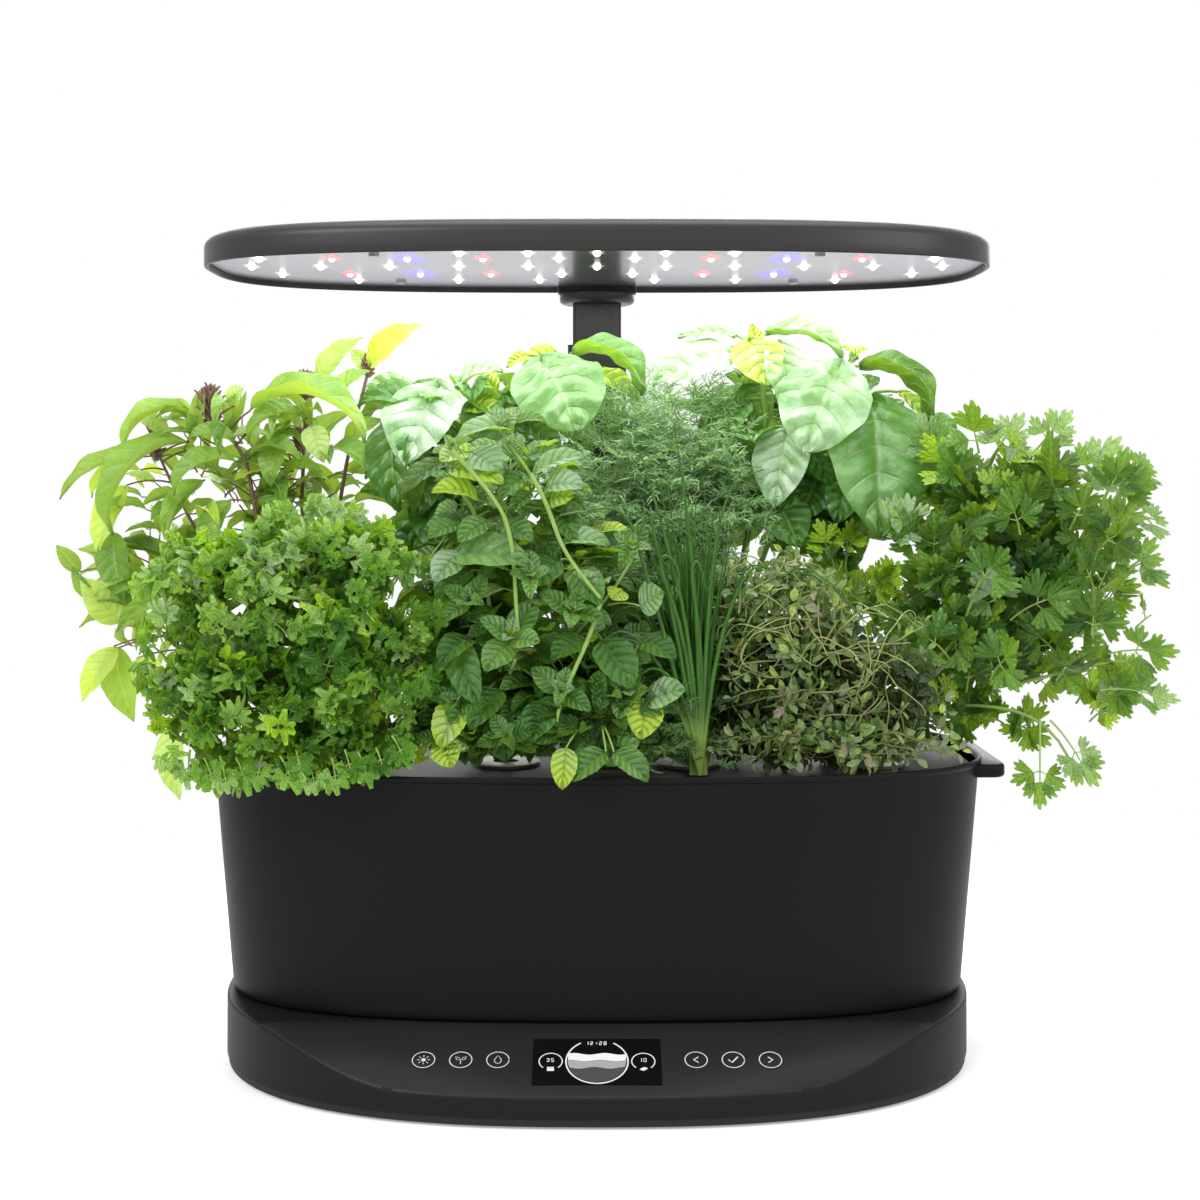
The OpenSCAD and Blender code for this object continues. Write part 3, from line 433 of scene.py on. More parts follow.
def add_piece(name, bm, finish, body, slot, stands_for=(), degrees=35):
    """Closes and smooths a bmesh, gives it a finish and shows it."""
    bmesh.ops.remove_doubles(bm, verts=bm.verts, dist=1e-6)
    bmesh.ops.recalc_face_normals(bm, faces=bm.faces)
    mesh = mesh_of(bm, name)
    smooth(mesh, degrees)
    mesh.materials.append(finish)
    print(name, "has", len(mesh.polygons), "faces")
    return show(name, mesh, body, slot, stands_for)


def box_between(bm, low, high, matrix=Matrix.Identity(4)):
    """Adds a box between two corners given in millimetres, then turned and placed by a matrix."""
    size = Vector(high) - Vector(low)
    grow = Matrix.Translation(Vector(low) + size / 2) @ Matrix.Diagonal((*size, 1))
    return bmesh.ops.create_cube(bm, size=1, matrix=Matrix.Scale(MM, 4) @ matrix @ grow)["verts"]


def cut(piece, cutter):
    """Cuts the closed shapes of a bmesh out of a piece."""
    knife = bpy.data.objects.new("cutter", mesh_of(cutter, "cutter"))
    scene.collection.objects.link(knife)
    modifier = piece.modifiers.new("cut", "BOOLEAN")
    modifier.object, modifier.solver = knife, "EXACT"
    whole = piece.evaluated_get(bpy.context.evaluated_depsgraph_get())
    piece.data = bpy.data.meshes.new_from_object(whole)
    piece.modifiers.clear()
    bpy.data.objects.remove(knife)
    smooth(piece.data)
    print(piece.name, "after its cut has", len(piece.data.polygons), "faces")


def level(width, depth, square, z, centre=(0, 0)):
    """The shape of a level ring, with all its sizes in millimetres."""
    def shape(angle):
        x, y = outline(angle, width, depth, square)
        return ((x + centre[0]) * MM, (y + centre[1]) * MM, z * MM)
    return shape


# %% [markdown]
# ## The base
# The base is a low oval housing. Behind the bowl and at both ends its top is level, at 36 mm. In
# front it drops to a lip of 15 mm as a sloping panel, and the lip sweeps up to the ends in a long
# S. A flat cut would give a hard corner there, so the top is a height worked out for each vertex
# of rings that shrink from the outline to the foot of the bowl.

# %% The base shell
BASE_W, BASE_D, BASE_SQUARE, BASE_TOP, BASE_UNDER = 398, 286, 2.5, 36, 5
SLOPE = 20 / 46
PANEL_BACK = -97
PANEL_FOOT = 392, 191, 2.9


def soft_step(value, low, high):
    t = min(1, max(0, (value - low) / (high - low)))
    return t * t * (3 - 2 * t)


def edge_y(x, width, depth, square):
    """How far forward an outline reaches at x."""
    return -depth / 2 * max(0, 1 - (abs(x) / (width / 2)) ** square) ** (1 / square)


def panel_height(x, y):
    """Height of the base's top at a place: level, then the panel's slope, then the rolled lip."""
    slope = BASE_TOP - max(0, PANEL_BACK - y) * SLOPE
    soft = max(0, 3 - abs(y - PANEL_BACK)) ** 2 / 12 * SLOPE
    height = slope - soft
    front = edge_y(x, BASE_W, BASE_D, BASE_SQUARE)
    if y < 0 and abs(x) < BASE_W / 2:
        lip_plane = BASE_TOP - max(0, PANEL_BACK - front) * SLOPE
        lip = 15 + 21 * soft_step(abs(x), 94, 182)
        near = max(0, 1 - (y - front) / 20)
        height += (min(lip, BASE_TOP) - lip_plane) * near * near
    return min(BASE_TOP, height)


def base_ring(inset, sink=0, share=0.0, floor=None):
    """A ring of the base's top: moved in by a distance, or part of the way to the bowl's foot."""
    def shape(angle):
        x, y = outline(angle, BASE_W - 2 * inset, BASE_D - 2 * inset, BASE_SQUARE)
        foot = outline(angle, *PANEL_FOOT)
        x, y = x + (foot[0] - x) * share, y + (foot[1] - y) * share
        z = panel_height(x, y) - sink if floor is None else floor
        return (x * MM, y * MM, z * MM)
    return shape


bm = bmesh.new()
UNDER_BOWL = 300, 120, 2.5
under = [level(*UNDER_BOWL, BASE_TOP - 2.6)] + [base_ring(2.6, 2.6, share)
                                                for share in (1, 0.8, 0.56, 0.35, 0.18, 0.05)]
under += [base_ring(2.6, 4), base_ring(2.6, floor=BASE_UNDER + 0.3), base_ring(2.4, floor=BASE_UNDER)]
sides = [base_ring(0.5, floor=BASE_UNDER), base_ring(0.1, floor=BASE_UNDER + 0.15),
         base_ring(0, floor=BASE_UNDER + 0.5)]
lips = [base_ring(0, 1.5), base_ring(0.12, 0.8), base_ring(0.5, 0.28), base_ring(1.1, 0.05), base_ring(1.8)]
tops = [base_ring(2, share=share) for share in (0.05, 0.11, 0.18, 0.26, 0.35, 0.45, 0.56, 0.68, 0.8, 0.9, 1)]
skin(bm, under + sides + lips + tops + [level(*UNDER_BOWL, BASE_TOP)])
base_shell = add_piece("base_shell_moulding", bm, finishes["base_black"], "base", "base_black",
                       ("base_shell", "control_panel"))

# %% [markdown]
# The window of the display lies flush in the panel, and the power inlet sits in a flat recess of
# the back wall. Both are cut out of the shell with a knife shape, a little larger than the part.

# %% Cutting the window and the inlet
TILT = math.atan(SLOPE)
panel = Matrix.Translation((0, PANEL_BACK, BASE_TOP)) @ Matrix.Rotation(TILT, 4, "X")
inlet_low, inlet_high = (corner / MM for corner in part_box("dc_jack"))
WINDOW_HALF, WINDOW_NEAR, WINDOW_FAR = 31.15, -10.4 - 31.55, -10.25
RECESS_X, RECESS_Z, PAST_BACK = (59, 81), (11, 25), 155
knives = [((-WINDOW_HALF, WINDOW_NEAR, -6), (WINDOW_HALF, WINDOW_FAR, 3), panel),
          ((inlet_low.x - 0.2, inlet_low.y, inlet_low.z - 0.2), (inlet_high.x + 0.2, 160, inlet_high.z + 0.2)),
          ((RECESS_X[0], inlet_high.y, RECESS_Z[0]), (RECESS_X[1], PAST_BACK, RECESS_Z[1]))]
for knife in knives:
    bm = bmesh.new()
    box_between(bm, *knife)
    cut(base_shell, bm)

# %% [markdown]
# The panel is the same moulding as the base but polished finer, so it takes the base's faces in
# front of the bowl that lean towards the viewer. Its colour is a shade lighter.

# %% The panel's finish
base_shell.data.materials.append(finishes["panel_satin"])
for polygon in base_shell.data.polygons:
    middle = polygon.center / MM
    if middle.y < PANEL_BACK + 6 and polygon.normal.z > 0.6 and middle.z < BASE_TOP + 0.1:
        polygon.material_index = 1
print("panel faces:", sum(p.material_index for p in base_shell.data.polygons))

# %% [markdown]
# ## The water bowl
# A tub of thin black plastic, a little wider at the rim than at the foot. The rim is a rolled lip,
# and at each end a flat lug sticks out to lift it by. A skin of rings gives the wall, inside and
# out, and the rings crowd together where the real edge is rounded.

# %% The bowl
BOWL_Z, BOWL_H, BOWL_FOOT, BOWL_RIM, BOWL_SQUARE = 36, 124, (393, 192), (413, 209), 2.9


def bowl_level(z, inset):
    t = (z - BOWL_Z) / BOWL_H
    width, depth = (foot + (rim - foot) * t - 2 * inset for foot, rim in zip(BOWL_FOOT, BOWL_RIM))
    return level(width, depth, BOWL_SQUARE, z)


bm = bmesh.new()
outside = [(36.02, 4.5), (36.1, 3), (36.5, 1.6), (37.3, 0.6), (38.6, 0.1), (41, 0), (70, 0), (110, 0), (140, 0),
           (155, 0)]
lip = [(156.6, -0.15), (157, -0.8), (157.5, -1.15), (158.8, -1.2), (159.6, -0.95), (159.95, -0.4), (160, 0.1),
       (159.9, 0.75), (159.4, 1.15)]
inside = [(154.5, 1.35), (154.35, 1.7), (154.3, 2.35), (153, 2.4), (100, 2.4), (41.5, 2.4), (40, 3), (39.1, 4.6)]
skin(bm, [bowl_level(z, inset) for z, inset in outside + lip + inside])
add_piece("bowl_tub", bm, finishes["bowl_black"], "base", "bowl_black", ("bowl",), 50)

# %% [markdown]
# Each lug is a tongue of the same plastic, 7 mm thick, with a rolled edge. It is a flat box whose
# outer upright corners and then all level edges are bevelled, and its inner end meets the wall.

# %% The lifting lugs
LUG_ENDS, LUG_HALF, LUG_UNDER, LUG_TOP = (196, 216), 46, 150, 157
bm = bmesh.new()
for side in (-1, 1):
    left, right = sorted(side * end for end in LUG_ENDS)
    verts = box_between(bm, (left, -LUG_HALF, LUG_UNDER), (right, LUG_HALF, LUG_TOP))
    corners = [e for v in verts for e in v.link_edges if abs(e.verts[0].co.z - e.verts[1].co.z) > 1e-4
               and abs(v.co.x) > 0.21]
    bmesh.ops.bevel(bm, geom=list(set(corners)), offset=8 * MM, affect="EDGES", segments=6, profile=0.5, material=-1)
outer = [e for e in bm.edges if abs(e.verts[0].co.z - e.verts[1].co.z) < 1e-6]
bmesh.ops.bevel(bm, geom=outer, offset=1.6 * MM, affect="EDGES", segments=3, profile=0.5, material=-1)
add_piece("bowl_lugs", bm, finishes["bowl_black"], "base", "bowl_black")

# %% [markdown]
# ## The lamp hood
# A shallow oval tray, open side down. Its side rounds into the top over 7.5 mm and leans in a little
# as it goes down, and the lower edge is a rounded band that frames the reflector.

# %% The hood
HOOD_W, HOOD_D, HOOD_SQUARE, HOOD_TOP, HOOD_Y = 432, 204, 3, 440, 17


def hood_level(z, inset):
    return level(HOOD_W - 2 * inset, HOOD_D - 2 * inset, HOOD_SQUARE, z, (0, HOOD_Y))


bm = bmesh.new()
outer = [(422.5, 1.3), (422.55, 0.8), (422.9, 0.25), (423.6, 0), (428, 0), (432.5, 0)]
over = [(432.5 + 7.5 * math.sin(math.radians(a)), 9.75 * (1 - math.cos(math.radians(a)))) for a in range(9, 91, 9)]
crown = [(HOOD_TOP, 14), (HOOD_TOP, 30), (HOOD_TOP, 60)]
under = [(437.4, 60), (437.4, 30), (437.2, 15), (436.6, 10.5), (434.6, 5), (431, 2.8), (425, 2.5), (422.9, 2.35),
         (422.55, 2.0), (422.5, 1.6)]
skin(bm, [hood_level(z, inset) for z, inset in under + outer + over + crown])
hood = add_piece("hood_tray", bm, finishes["hood_grey"], "hood", "hood_grey", ("hood_shell",), 40)
bracket_low, bracket_high = (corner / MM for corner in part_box("hood_bracket"))
bm = bmesh.new()
box_between(bm, (bracket_low.x - 0.2, bracket_low.y - 0.2, 420),
            (bracket_high.x + 0.2, bracket_high.y, bracket_high.z + 0.2))
cut(hood, bm)

# %% [markdown]
# ## The diodes and their glow
# Each diode wears a round drop of clear silicone, and it is the drop that is seen to shine. The
# reflector has a soft glow painted round it, in the colour of that kind of diode.

# %% Drops over the diodes
DROP_RADIUS = 2.1


def diode_places(solid):
    """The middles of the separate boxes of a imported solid, in mm."""
    bm = bmesh.new()
    bm.from_mesh(solid.data)
    bmesh.ops.remove_doubles(bm, verts=bm.verts, dist=1e-6)
    left, places = set(bm.verts), []
    while left:
        box, fresh = set(), {left.pop()}
        while fresh:
            vert = fresh.pop()
            box.add(vert)
            fresh |= {edge.other_vert(vert) for edge in vert.link_edges} - box
        left -= box
        places.append([(min(v.co[i] for v in box) + max(v.co[i] for v in box)) / 2 / MM for i in (0, 1)])
    bm.free()
    return sorted([round(x, 1), round(y, 1)] for x, y in places)


painted_glows = []
for kind, hue, strength, reach in (("white", tone(250, 244, 232), 0.7, 6), ("red", tone(255, 60, 84), 0.8, 8),
                                   ("blue", tone(84, 70, 246), 1.0, 15)):
    spots = diode_places(nodes["leds_" + kind])
    bm = bmesh.new()
    for x, y in spots:
        drop = bmesh.ops.create_uvsphere(bm, u_segments=16, v_segments=8, radius=DROP_RADIUS * MM)["verts"]
        bmesh.ops.translate(bm, verts=drop, vec=(x * MM, y * MM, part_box("reflector")[0].z))
    whole = bm.verts[:] + bm.edges[:] + bm.faces[:]
    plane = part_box("reflector")[0].z - 0.05 * MM
    rims = bmesh.ops.bisect_plane(bm, geom=whole, plane_co=(0, 0, plane), plane_no=(0, 0, 1),
                                  clear_outer=True)["geom_cut"]
    bmesh.ops.holes_fill(bm, edges=[e for e in rims if isinstance(e, bmesh.types.BMEdge)])
    add_piece("drops_" + kind, bm, finishes["led_" + kind], "hood", "led_" + kind, ("leds_" + kind,))
    # The glow painted on the reflector round this kind of diode.
    painted_glows.append((hue, strength, reach, [spot for spot in spots if spot[0] > -1]))
    print(kind, "diodes:", len(spots))
finishes["reflector_satin"] = satin_sheet("reflector_satin", tone(150, 144, 158), painted_glows)

# %% [markdown]
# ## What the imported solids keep
# The feet, screws, boards, pump, mast and the other solids have the right shape already, so they
# only take a finish. A table in the record says which finish each one has.

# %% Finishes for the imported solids
slot_of = {part["node"]: part["material_slot"] for part in frame["record"]["subparts"]}
for name, solid in nodes.items():
    finish = finishes.get(slot_of[name])
    if finish is None:
        continue
    solid.data.materials.clear()
    solid.data.materials.append(finish)
print("solids with a finish:", sum(bool(finishes.get(slot_of[n])) for n in nodes))

# %% [markdown]
# ## The display and the buttons
# The display is a black glass window with a bright picture behind it: a gauge that shows how full
# the bowl is, and two small dials with plain numbers. The six touch buttons are printed rings with
# a sign in each. All of it is line work, so one tool draws it: a ribbon, which is a short edge
# that is extruded from point to point along a line, then given a hair of thickness.

# %% The pen


class Pen:
    """Draws flat line work on the sloping panel, in millimetres from a centre on it."""

    def __init__(self, across, down, lift):
        self.bm, self.across, self.down, self.lift = bmesh.new(), across, down, lift

    def at(self, x, y):
        return panel @ Vector((x + self.across, y - self.down, self.lift)) * MM

    def move(self, across, down):
        self.across, self.down = across, down

    def ribbon(self, points, width=0.5):
        """A line through points; it closes if the last point is the first."""
        closed = points[0] == points[-1]
        rails = []
        for i, (x, y) in enumerate(points):
            before = points[i - 1] if i else (points[-2] if closed else points[0])
            after = points[i + 1] if i + 1 < len(points) else (points[1] if closed else points[-1])
            along = Vector((after[0] - before[0], after[1] - before[1])).normalized() * width / 2
            rails.append((self.at(x - along.y, y + along.x), self.at(x + along.y, y - along.x)))
        ends = [self.bm.verts.new(point) for point in rails[0]]
        edge = self.bm.edges.new(ends)
        for rail in rails[1:]:
            made = bmesh.ops.extrude_edge_only(self.bm, edges=[edge])["geom"]
            edge = next(part for part in made if isinstance(part, bmesh.types.BMEdge))
            first = next(v for v in edge.verts if any(e.other_vert(v) is ends[0] for e in v.link_edges))
            second = edge.other_vert(first)
            first.co, second.co = rail
            ends = [first, second]

    def arc(self, radius, start, end, width=0.5, steps=40):
        turn = [math.radians(start + (end - start) * i / steps) for i in range(steps + 1)]
        points = [(radius * math.cos(a), radius * math.sin(a)) for a in turn]
        if abs(end - start) == 360:
            points[-1] = points[0]
        self.ribbon(points, width)

    def band(self, lower, upper, left, right, steps=36):
        """Fills the space between two curves, each a function of x."""
        grid = bmesh.ops.create_grid(self.bm, x_segments=steps, y_segments=1, size=0.5)["verts"]
        for vert in grid:
            x = left + (vert.co.x + 0.5) * (right - left)
            vert.co = self.at(x, upper(x) if vert.co.y > 0 else lower(x))

    def dot(self, x, y, radius):
        for vert in bmesh.ops.create_circle(self.bm, cap_ends=True, segments=20, radius=radius)["verts"]:
            vert.co = self.at(x + vert.co.x, y + vert.co.y)

    def digit(self, figure, x, y, size, width=0.35):
        """A figure made of seven strokes, as on a clock."""
        w, h = size * 0.5, size
        ends = {"a": ((0, h), (w, h)), "b": ((w, h), (w, h / 2)), "c": ((w, h / 2), (w, 0)), "d": ((0, 0), (w, 0)),
                "e": ((0, h / 2), (0, 0)), "f": ((0, h), (0, h / 2)), "g": ((0, h / 2), (w, h / 2))}
        lit = {"0": "abcdef", "1": "bc", "2": "abged", "3": "abgcd", "5": "afgcd", "8": "abcdefg"}[figure]
        for name in lit:
            (x0, y0), (x1, y1) = ends[name]
            self.ribbon([(x + x0, y + y0), (x + x1, y + y1)], width)

    def finish(self, name, finish, slot, **more):
        bmesh.ops.solidify(self.bm, geom=self.bm.faces[:], thickness=0.03 * MM)
        return add_piece(name, self.bm, finish, "base", slot, **more)


def glow(name, color, strength):
    """Part of a lit picture: its own light, with the fine dot grid of a display."""
    finish = Finish(name, Roughness=0.3)
    dots = finish.node("ShaderNodeTexVoronoi", inputs={"Vector": finish.place(), "Scale": 3500})
    finish.skin(shift(color, 0.2))
    finish.shine(finish.blend(dots, color, shift(color, 0.8)), strength)
    return finish.material


def black_glass(name):
    finish = Finish(name, Coat_Weight=1.0, Coat_Roughness=0.05, Specular_IOR_Level=0.3)
    smear = finish.grain(finish.place(), 60, 3)
    finish.skin(finish.blend(smear, tone(5, 5, 6), tone(9, 9, 10)))
    finish.set("Roughness", smear * 0.1 + 0.12)
    return finish.material


finishes["window_black"] = black_glass("window_black")
nodes["display_window"].data.materials.clear()
nodes["display_window"].data.materials.append(finishes["window_black"])

# %% The picture on the display
DISPLAY_DOWN, DIAL_ACROSS, SIGN_DOWN = 26.1, 22.4, 5.2


def wave(base, height, shift_x=0.0):
    return lambda x: base + height * math.sin((x + shift_x) * 0.42)


def bowl_line(x):
    """The lower edge of the gauge's circle."""
    return -math.sqrt(max(0, 14.2 ** 2 - x * x))


def held(curve):
    return lambda x: max(curve(x), bowl_line(x))


pen = Pen(0, DISPLAY_DOWN, 0.06)
pen.arc(15, 122, 418, 0.7, 72)
pen.band(held(wave(0.6, 0.5, 2)), held(wave(5.2, 0.6)), -14, 14)
for start, figures in ((-5.4, "12"), (1.2, "28")):
    for i, figure in enumerate(figures):
        pen.digit(figure, start + 2.2 * i, 11.6, 2.1)
for y in (12.2, 13.2):
    pen.dot(-0.2, y, 0.25)
for side, figures in ((-1, "35"), (1, "10")):
    pen.move(side * DIAL_ACROSS, DISPLAY_DOWN)
    pen.arc(5.6, -50, 230, 0.5, 48)
    for i, figure in enumerate(figures):
        pen.digit(figure, -1.9 + 2.2 * i, -0.2, 2.2, 0.3)
pen.move(-DIAL_ACROSS, DISPLAY_DOWN + SIGN_DOWN)
pen.band(lambda x: -1.3, lambda x: 0.6, -1.7, 1.7, 4)
pen.band(lambda x: 0.85, lambda x: 1.4, -1.7, 1.7, 4)
pen.move(DIAL_ACROSS, DISPLAY_DOWN + SIGN_DOWN)
pen.band(lambda x: -1.1 * math.cos(x * 0.8) + 0.1 * x, lambda x: 1.1 * math.cos(x * 0.8) + 0.25 * x, -1.95, 1.95, 12)
pen.finish("display_white", glow("display_glow_white", tone(240, 242, 244), 0.9), "window_black")
pen = Pen(0, DISPLAY_DOWN, 0.06)
pen.band(held(wave(-4.4, 0.6, 5)), held(wave(0.4, 0.5, 2)), -14.2, 14.2)
pen.finish("display_pale", glow("display_glow_pale", tone(176, 178, 180), 0.8), "window_black")
pen = Pen(0, DISPLAY_DOWN, 0.06)
pen.band(held(lambda x: -14.5), held(wave(-4.6, 0.6, 5)), -14.2, 14.2)
pen.finish("display_dim", glow("display_glow_dim", tone(82, 84, 86), 0.7), "window_black")

# %% The touch buttons
BUTTON_DOWN, BUTTONS = 25, (-84, -66, -48, 48, 66, 84)
SUN, SPROUT, DROP, BACK, TICK, ON = BUTTONS
pen = Pen(0, BUTTON_DOWN, 0.04)
for across in BUTTONS:
    pen.move(across, BUTTON_DOWN)
    pen.arc(5.4, 0, 360, 0.5, 56)
pen.move(SUN, BUTTON_DOWN)
pen.dot(0, 0, 1.15)
for i in range(8):
    c, s = math.cos(math.radians(45 * i)), math.sin(math.radians(45 * i))
    pen.ribbon([(1.9 * c, 1.9 * s), (3.2 * c, 3.2 * s)], 0.4)
pen.move(SPROUT, BUTTON_DOWN)
pen.ribbon([(0, -2.9), (0, 0.4)], 0.45)
for side in (-1, 1):
    pen.ribbon([(0, -0.4), (side * 1.0, 1.5), (side * 2.6, 2.2), (side * 2.1, 0.3), (0, -0.4)], 0.4)
pen.move(DROP, BUTTON_DOWN)
pen.ribbon([(0, 3.1), (1.35, 0.7), (1.75, -0.7), (1.1, -2.1), (0, -2.6), (-1.1, -2.1), (-1.75, -0.7), (-1.35, 0.7),
            (0, 3.1)], 0.4)
pen.move(BACK, BUTTON_DOWN)
pen.ribbon([(1.1, 1.9), (-1.2, 0), (1.1, -1.9)], 0.7)
pen.move(TICK, BUTTON_DOWN)
pen.ribbon([(-2.4, 0.1), (-0.7, -1.8), (2.4, 2.1)], 0.8)
pen.move(ON, BUTTON_DOWN)
pen.ribbon([(-1.1, 1.9), (1.2, 0), (-1.1, -1.9)], 0.7)
pen.finish("button_print", finishes["print_grey"], "print_grey", stands_for=("button_marks",))

# %% [markdown]
# ## How the herbs are made
# A herb is hundreds of leaves of one kind, so each kind gets a few leaf shapes, and the plant is
# many copies of them. A leaf shape starts as a flat grid. Its vertices are moved in to the leaf's
# outline, folded along the midrib, quilted between the side veins and bent along its length.
# Every shape is one unit long from stalk to tip, so a copy is placed by two points: its stalk end
# and its tip. The grid's own UV map keeps following the leaf, and carries the veins.

# %% Leaf shapes


def leaf_shape(name, half_width, ratio, across, along, fold=0.3, arch=0.9, tip_curl=1.0, quilt=0.0, ribs=6,
               slope=1.2, wave=0.0, waves=3, teeth=0.0, tooth_count=8, seed=0):
    """A leaf one unit long. half_width goes from 0 to 1 along it, and ratio is its width."""
    chance = random.Random(seed)
    phase = [chance.uniform(0, math.tau) for _ in range(3)]
    bend = [arch * (0.5 - (k / along) ** tip_curl) for k in range(along + 1)]
    spine = [(0.0, 0.0)]
    for k in range(along):
        middle = (bend[k] + bend[k + 1]) / 2
        spine.append((spine[-1][0] + math.cos(middle) / along, spine[-1][1] + math.sin(middle) / along))
    reach, lean = math.hypot(*spine[-1]), math.atan2(spine[-1][1], spine[-1][0])
    bm = bmesh.new()
    bm.loops.layers.uv.new("UVMap")
    bmesh.ops.create_grid(bm, x_segments=across, y_segments=along, size=0.5, calc_uvs=True)
    bm.verts.layers.float.new("tint")
    for vert in bm.verts:
        u, t = vert.co.x * 2, vert.co.y + 0.5
        side = 1 if u > 0 else -1
        edge = abs(u)
        saw = teeth * ((t * tooth_count) % 1 - 0.4) * edge ** 3
        x = u * half_width(t) * ratio / 2 * (1 + saw)
        rib = (t * ribs - edge * slope) % 1
        rise = fold * abs(x) + quilt * math.sin(math.pi * rib) ** 2 * min(1, edge * 5) * (1 - edge ** 4)
        rise -= quilt * 0.8 * math.exp(-(edge * 9) ** 2)
        rise += quilt * 1.1 * noise.noise(Vector((u * 3.2, t * 6.5, seed * 7.3))) * (1 - 0.5 * edge)
        rise += wave * edge ** 2 * math.sin(math.tau * waves * t + phase[0]
                                            + side * phase[1]) * min(1, 6 * t * (1 - t) + 0.15)
        k = min(along - 1, int(t * along + 1e-6))
        share = t * along - k
        y = spine[k][0] + (spine[k + 1][0] - spine[k][0]) * share
        z = spine[k][1] + (spine[k + 1][1] - spine[k][1]) * share
        angle = bend[k] + (bend[k + 1] - bend[k]) * share
        y, z = y - rise * math.sin(angle), z + rise * math.cos(angle)
        vert.co = (x, (y * math.cos(lean) + z * math.sin(lean)) / reach,
                   (z * math.cos(lean) - y * math.sin(lean)) / reach)
    return mesh_of(bm, name)


def fan_shape(name, lobes, teeth, steps, along, depth, notch, frill, cup, spread, seed):
    """A divided leaflet one unit long: a fan of lobes, given by their lengths, each with rounded teeth."""
    chance = random.Random(seed)
    lift = [chance.uniform(-1, 1) for _ in lobes]
    bm = bmesh.new()
    bm.loops.layers.uv.new("UVMap")
    bmesh.ops.create_grid(bm, x_segments=len(lobes) * teeth * steps, y_segments=along, size=0.5, calc_uvs=True)
    bm.verts.layers.float.new("tint")
    for vert in bm.verts:
        u, t = vert.co.x * 2, vert.co.y + 0.5
        place = (u + 1) / 2 * len(lobes)
        lobe = min(len(lobes) - 1, int(place + 1e-5))
        part = place - lobe
        arch = max(0.0, math.sin(math.pi * part)) ** 0.45
        tooth = abs(math.sin(math.pi * part * teeth))
        reach = ((1 - depth) + (lobes[lobe] - 1 + depth) * arch) * (1 - notch * (1 - tooth) ** 2)
        angle = u * spread
        r = t * reach
        rise = cup * r * r * (0.4 + abs(math.sin(angle))) - 0.25 * t * t
        rise += frill * t * t * (math.cos(math.tau * part) + lift[lobe])
        vert.co = (math.sin(angle) * r, math.cos(angle) * r, rise)
    bmesh.ops.remove_doubles(bm, verts=bm.verts, dist=1e-5)
    return mesh_of(bm, name)


def oval(t, full, widest):
    """Half width of a leaf with a pointed tip: full below 1 fills it out, widest says where."""
    s = t ** (math.log(0.5) / math.log(widest))
    return max(0.0, math.sin(math.pi * s)) ** full if t < 1 else 0.0


def leaf_family(name, full, across, along, rows, seed=0, **more):
    """Leaf shapes of one kind, listed as where the leaf is widest, its width, fold and arch."""
    return [leaf_shape("%s_%d" % (name, i), lambda t, w=w: oval(t, full, w), ratio, across, along, fold, arch,
                       seed=seed + i, **more) for i, (w, ratio, fold, arch) in enumerate(rows)]


# %% [markdown]
# A herb gathers its leaves in one bmesh. Stems, threads and grassy blades are drawn as curves with
# a round section that tapers, which are turned into a mesh at the end and joined to the leaves.
# Each leaf also carries one number, its tint, so that young and old leaves differ, and so that
# leaves can carry painted shade, darker deep inside, and painted sunlight.

# %% Gathering a herb
# The pods, counted from the left: four in the front row and then five behind.
POD_GAPS, POD_ROW_Y, SPONGE_TOP = (96, 77), 44, 158.2
PODS = [((i - 1.5) * POD_GAPS[0], -POD_ROW_Y) for i in range(4)]
PODS += [((i - 2) * POD_GAPS[1], POD_ROW_Y) for i in range(5)]


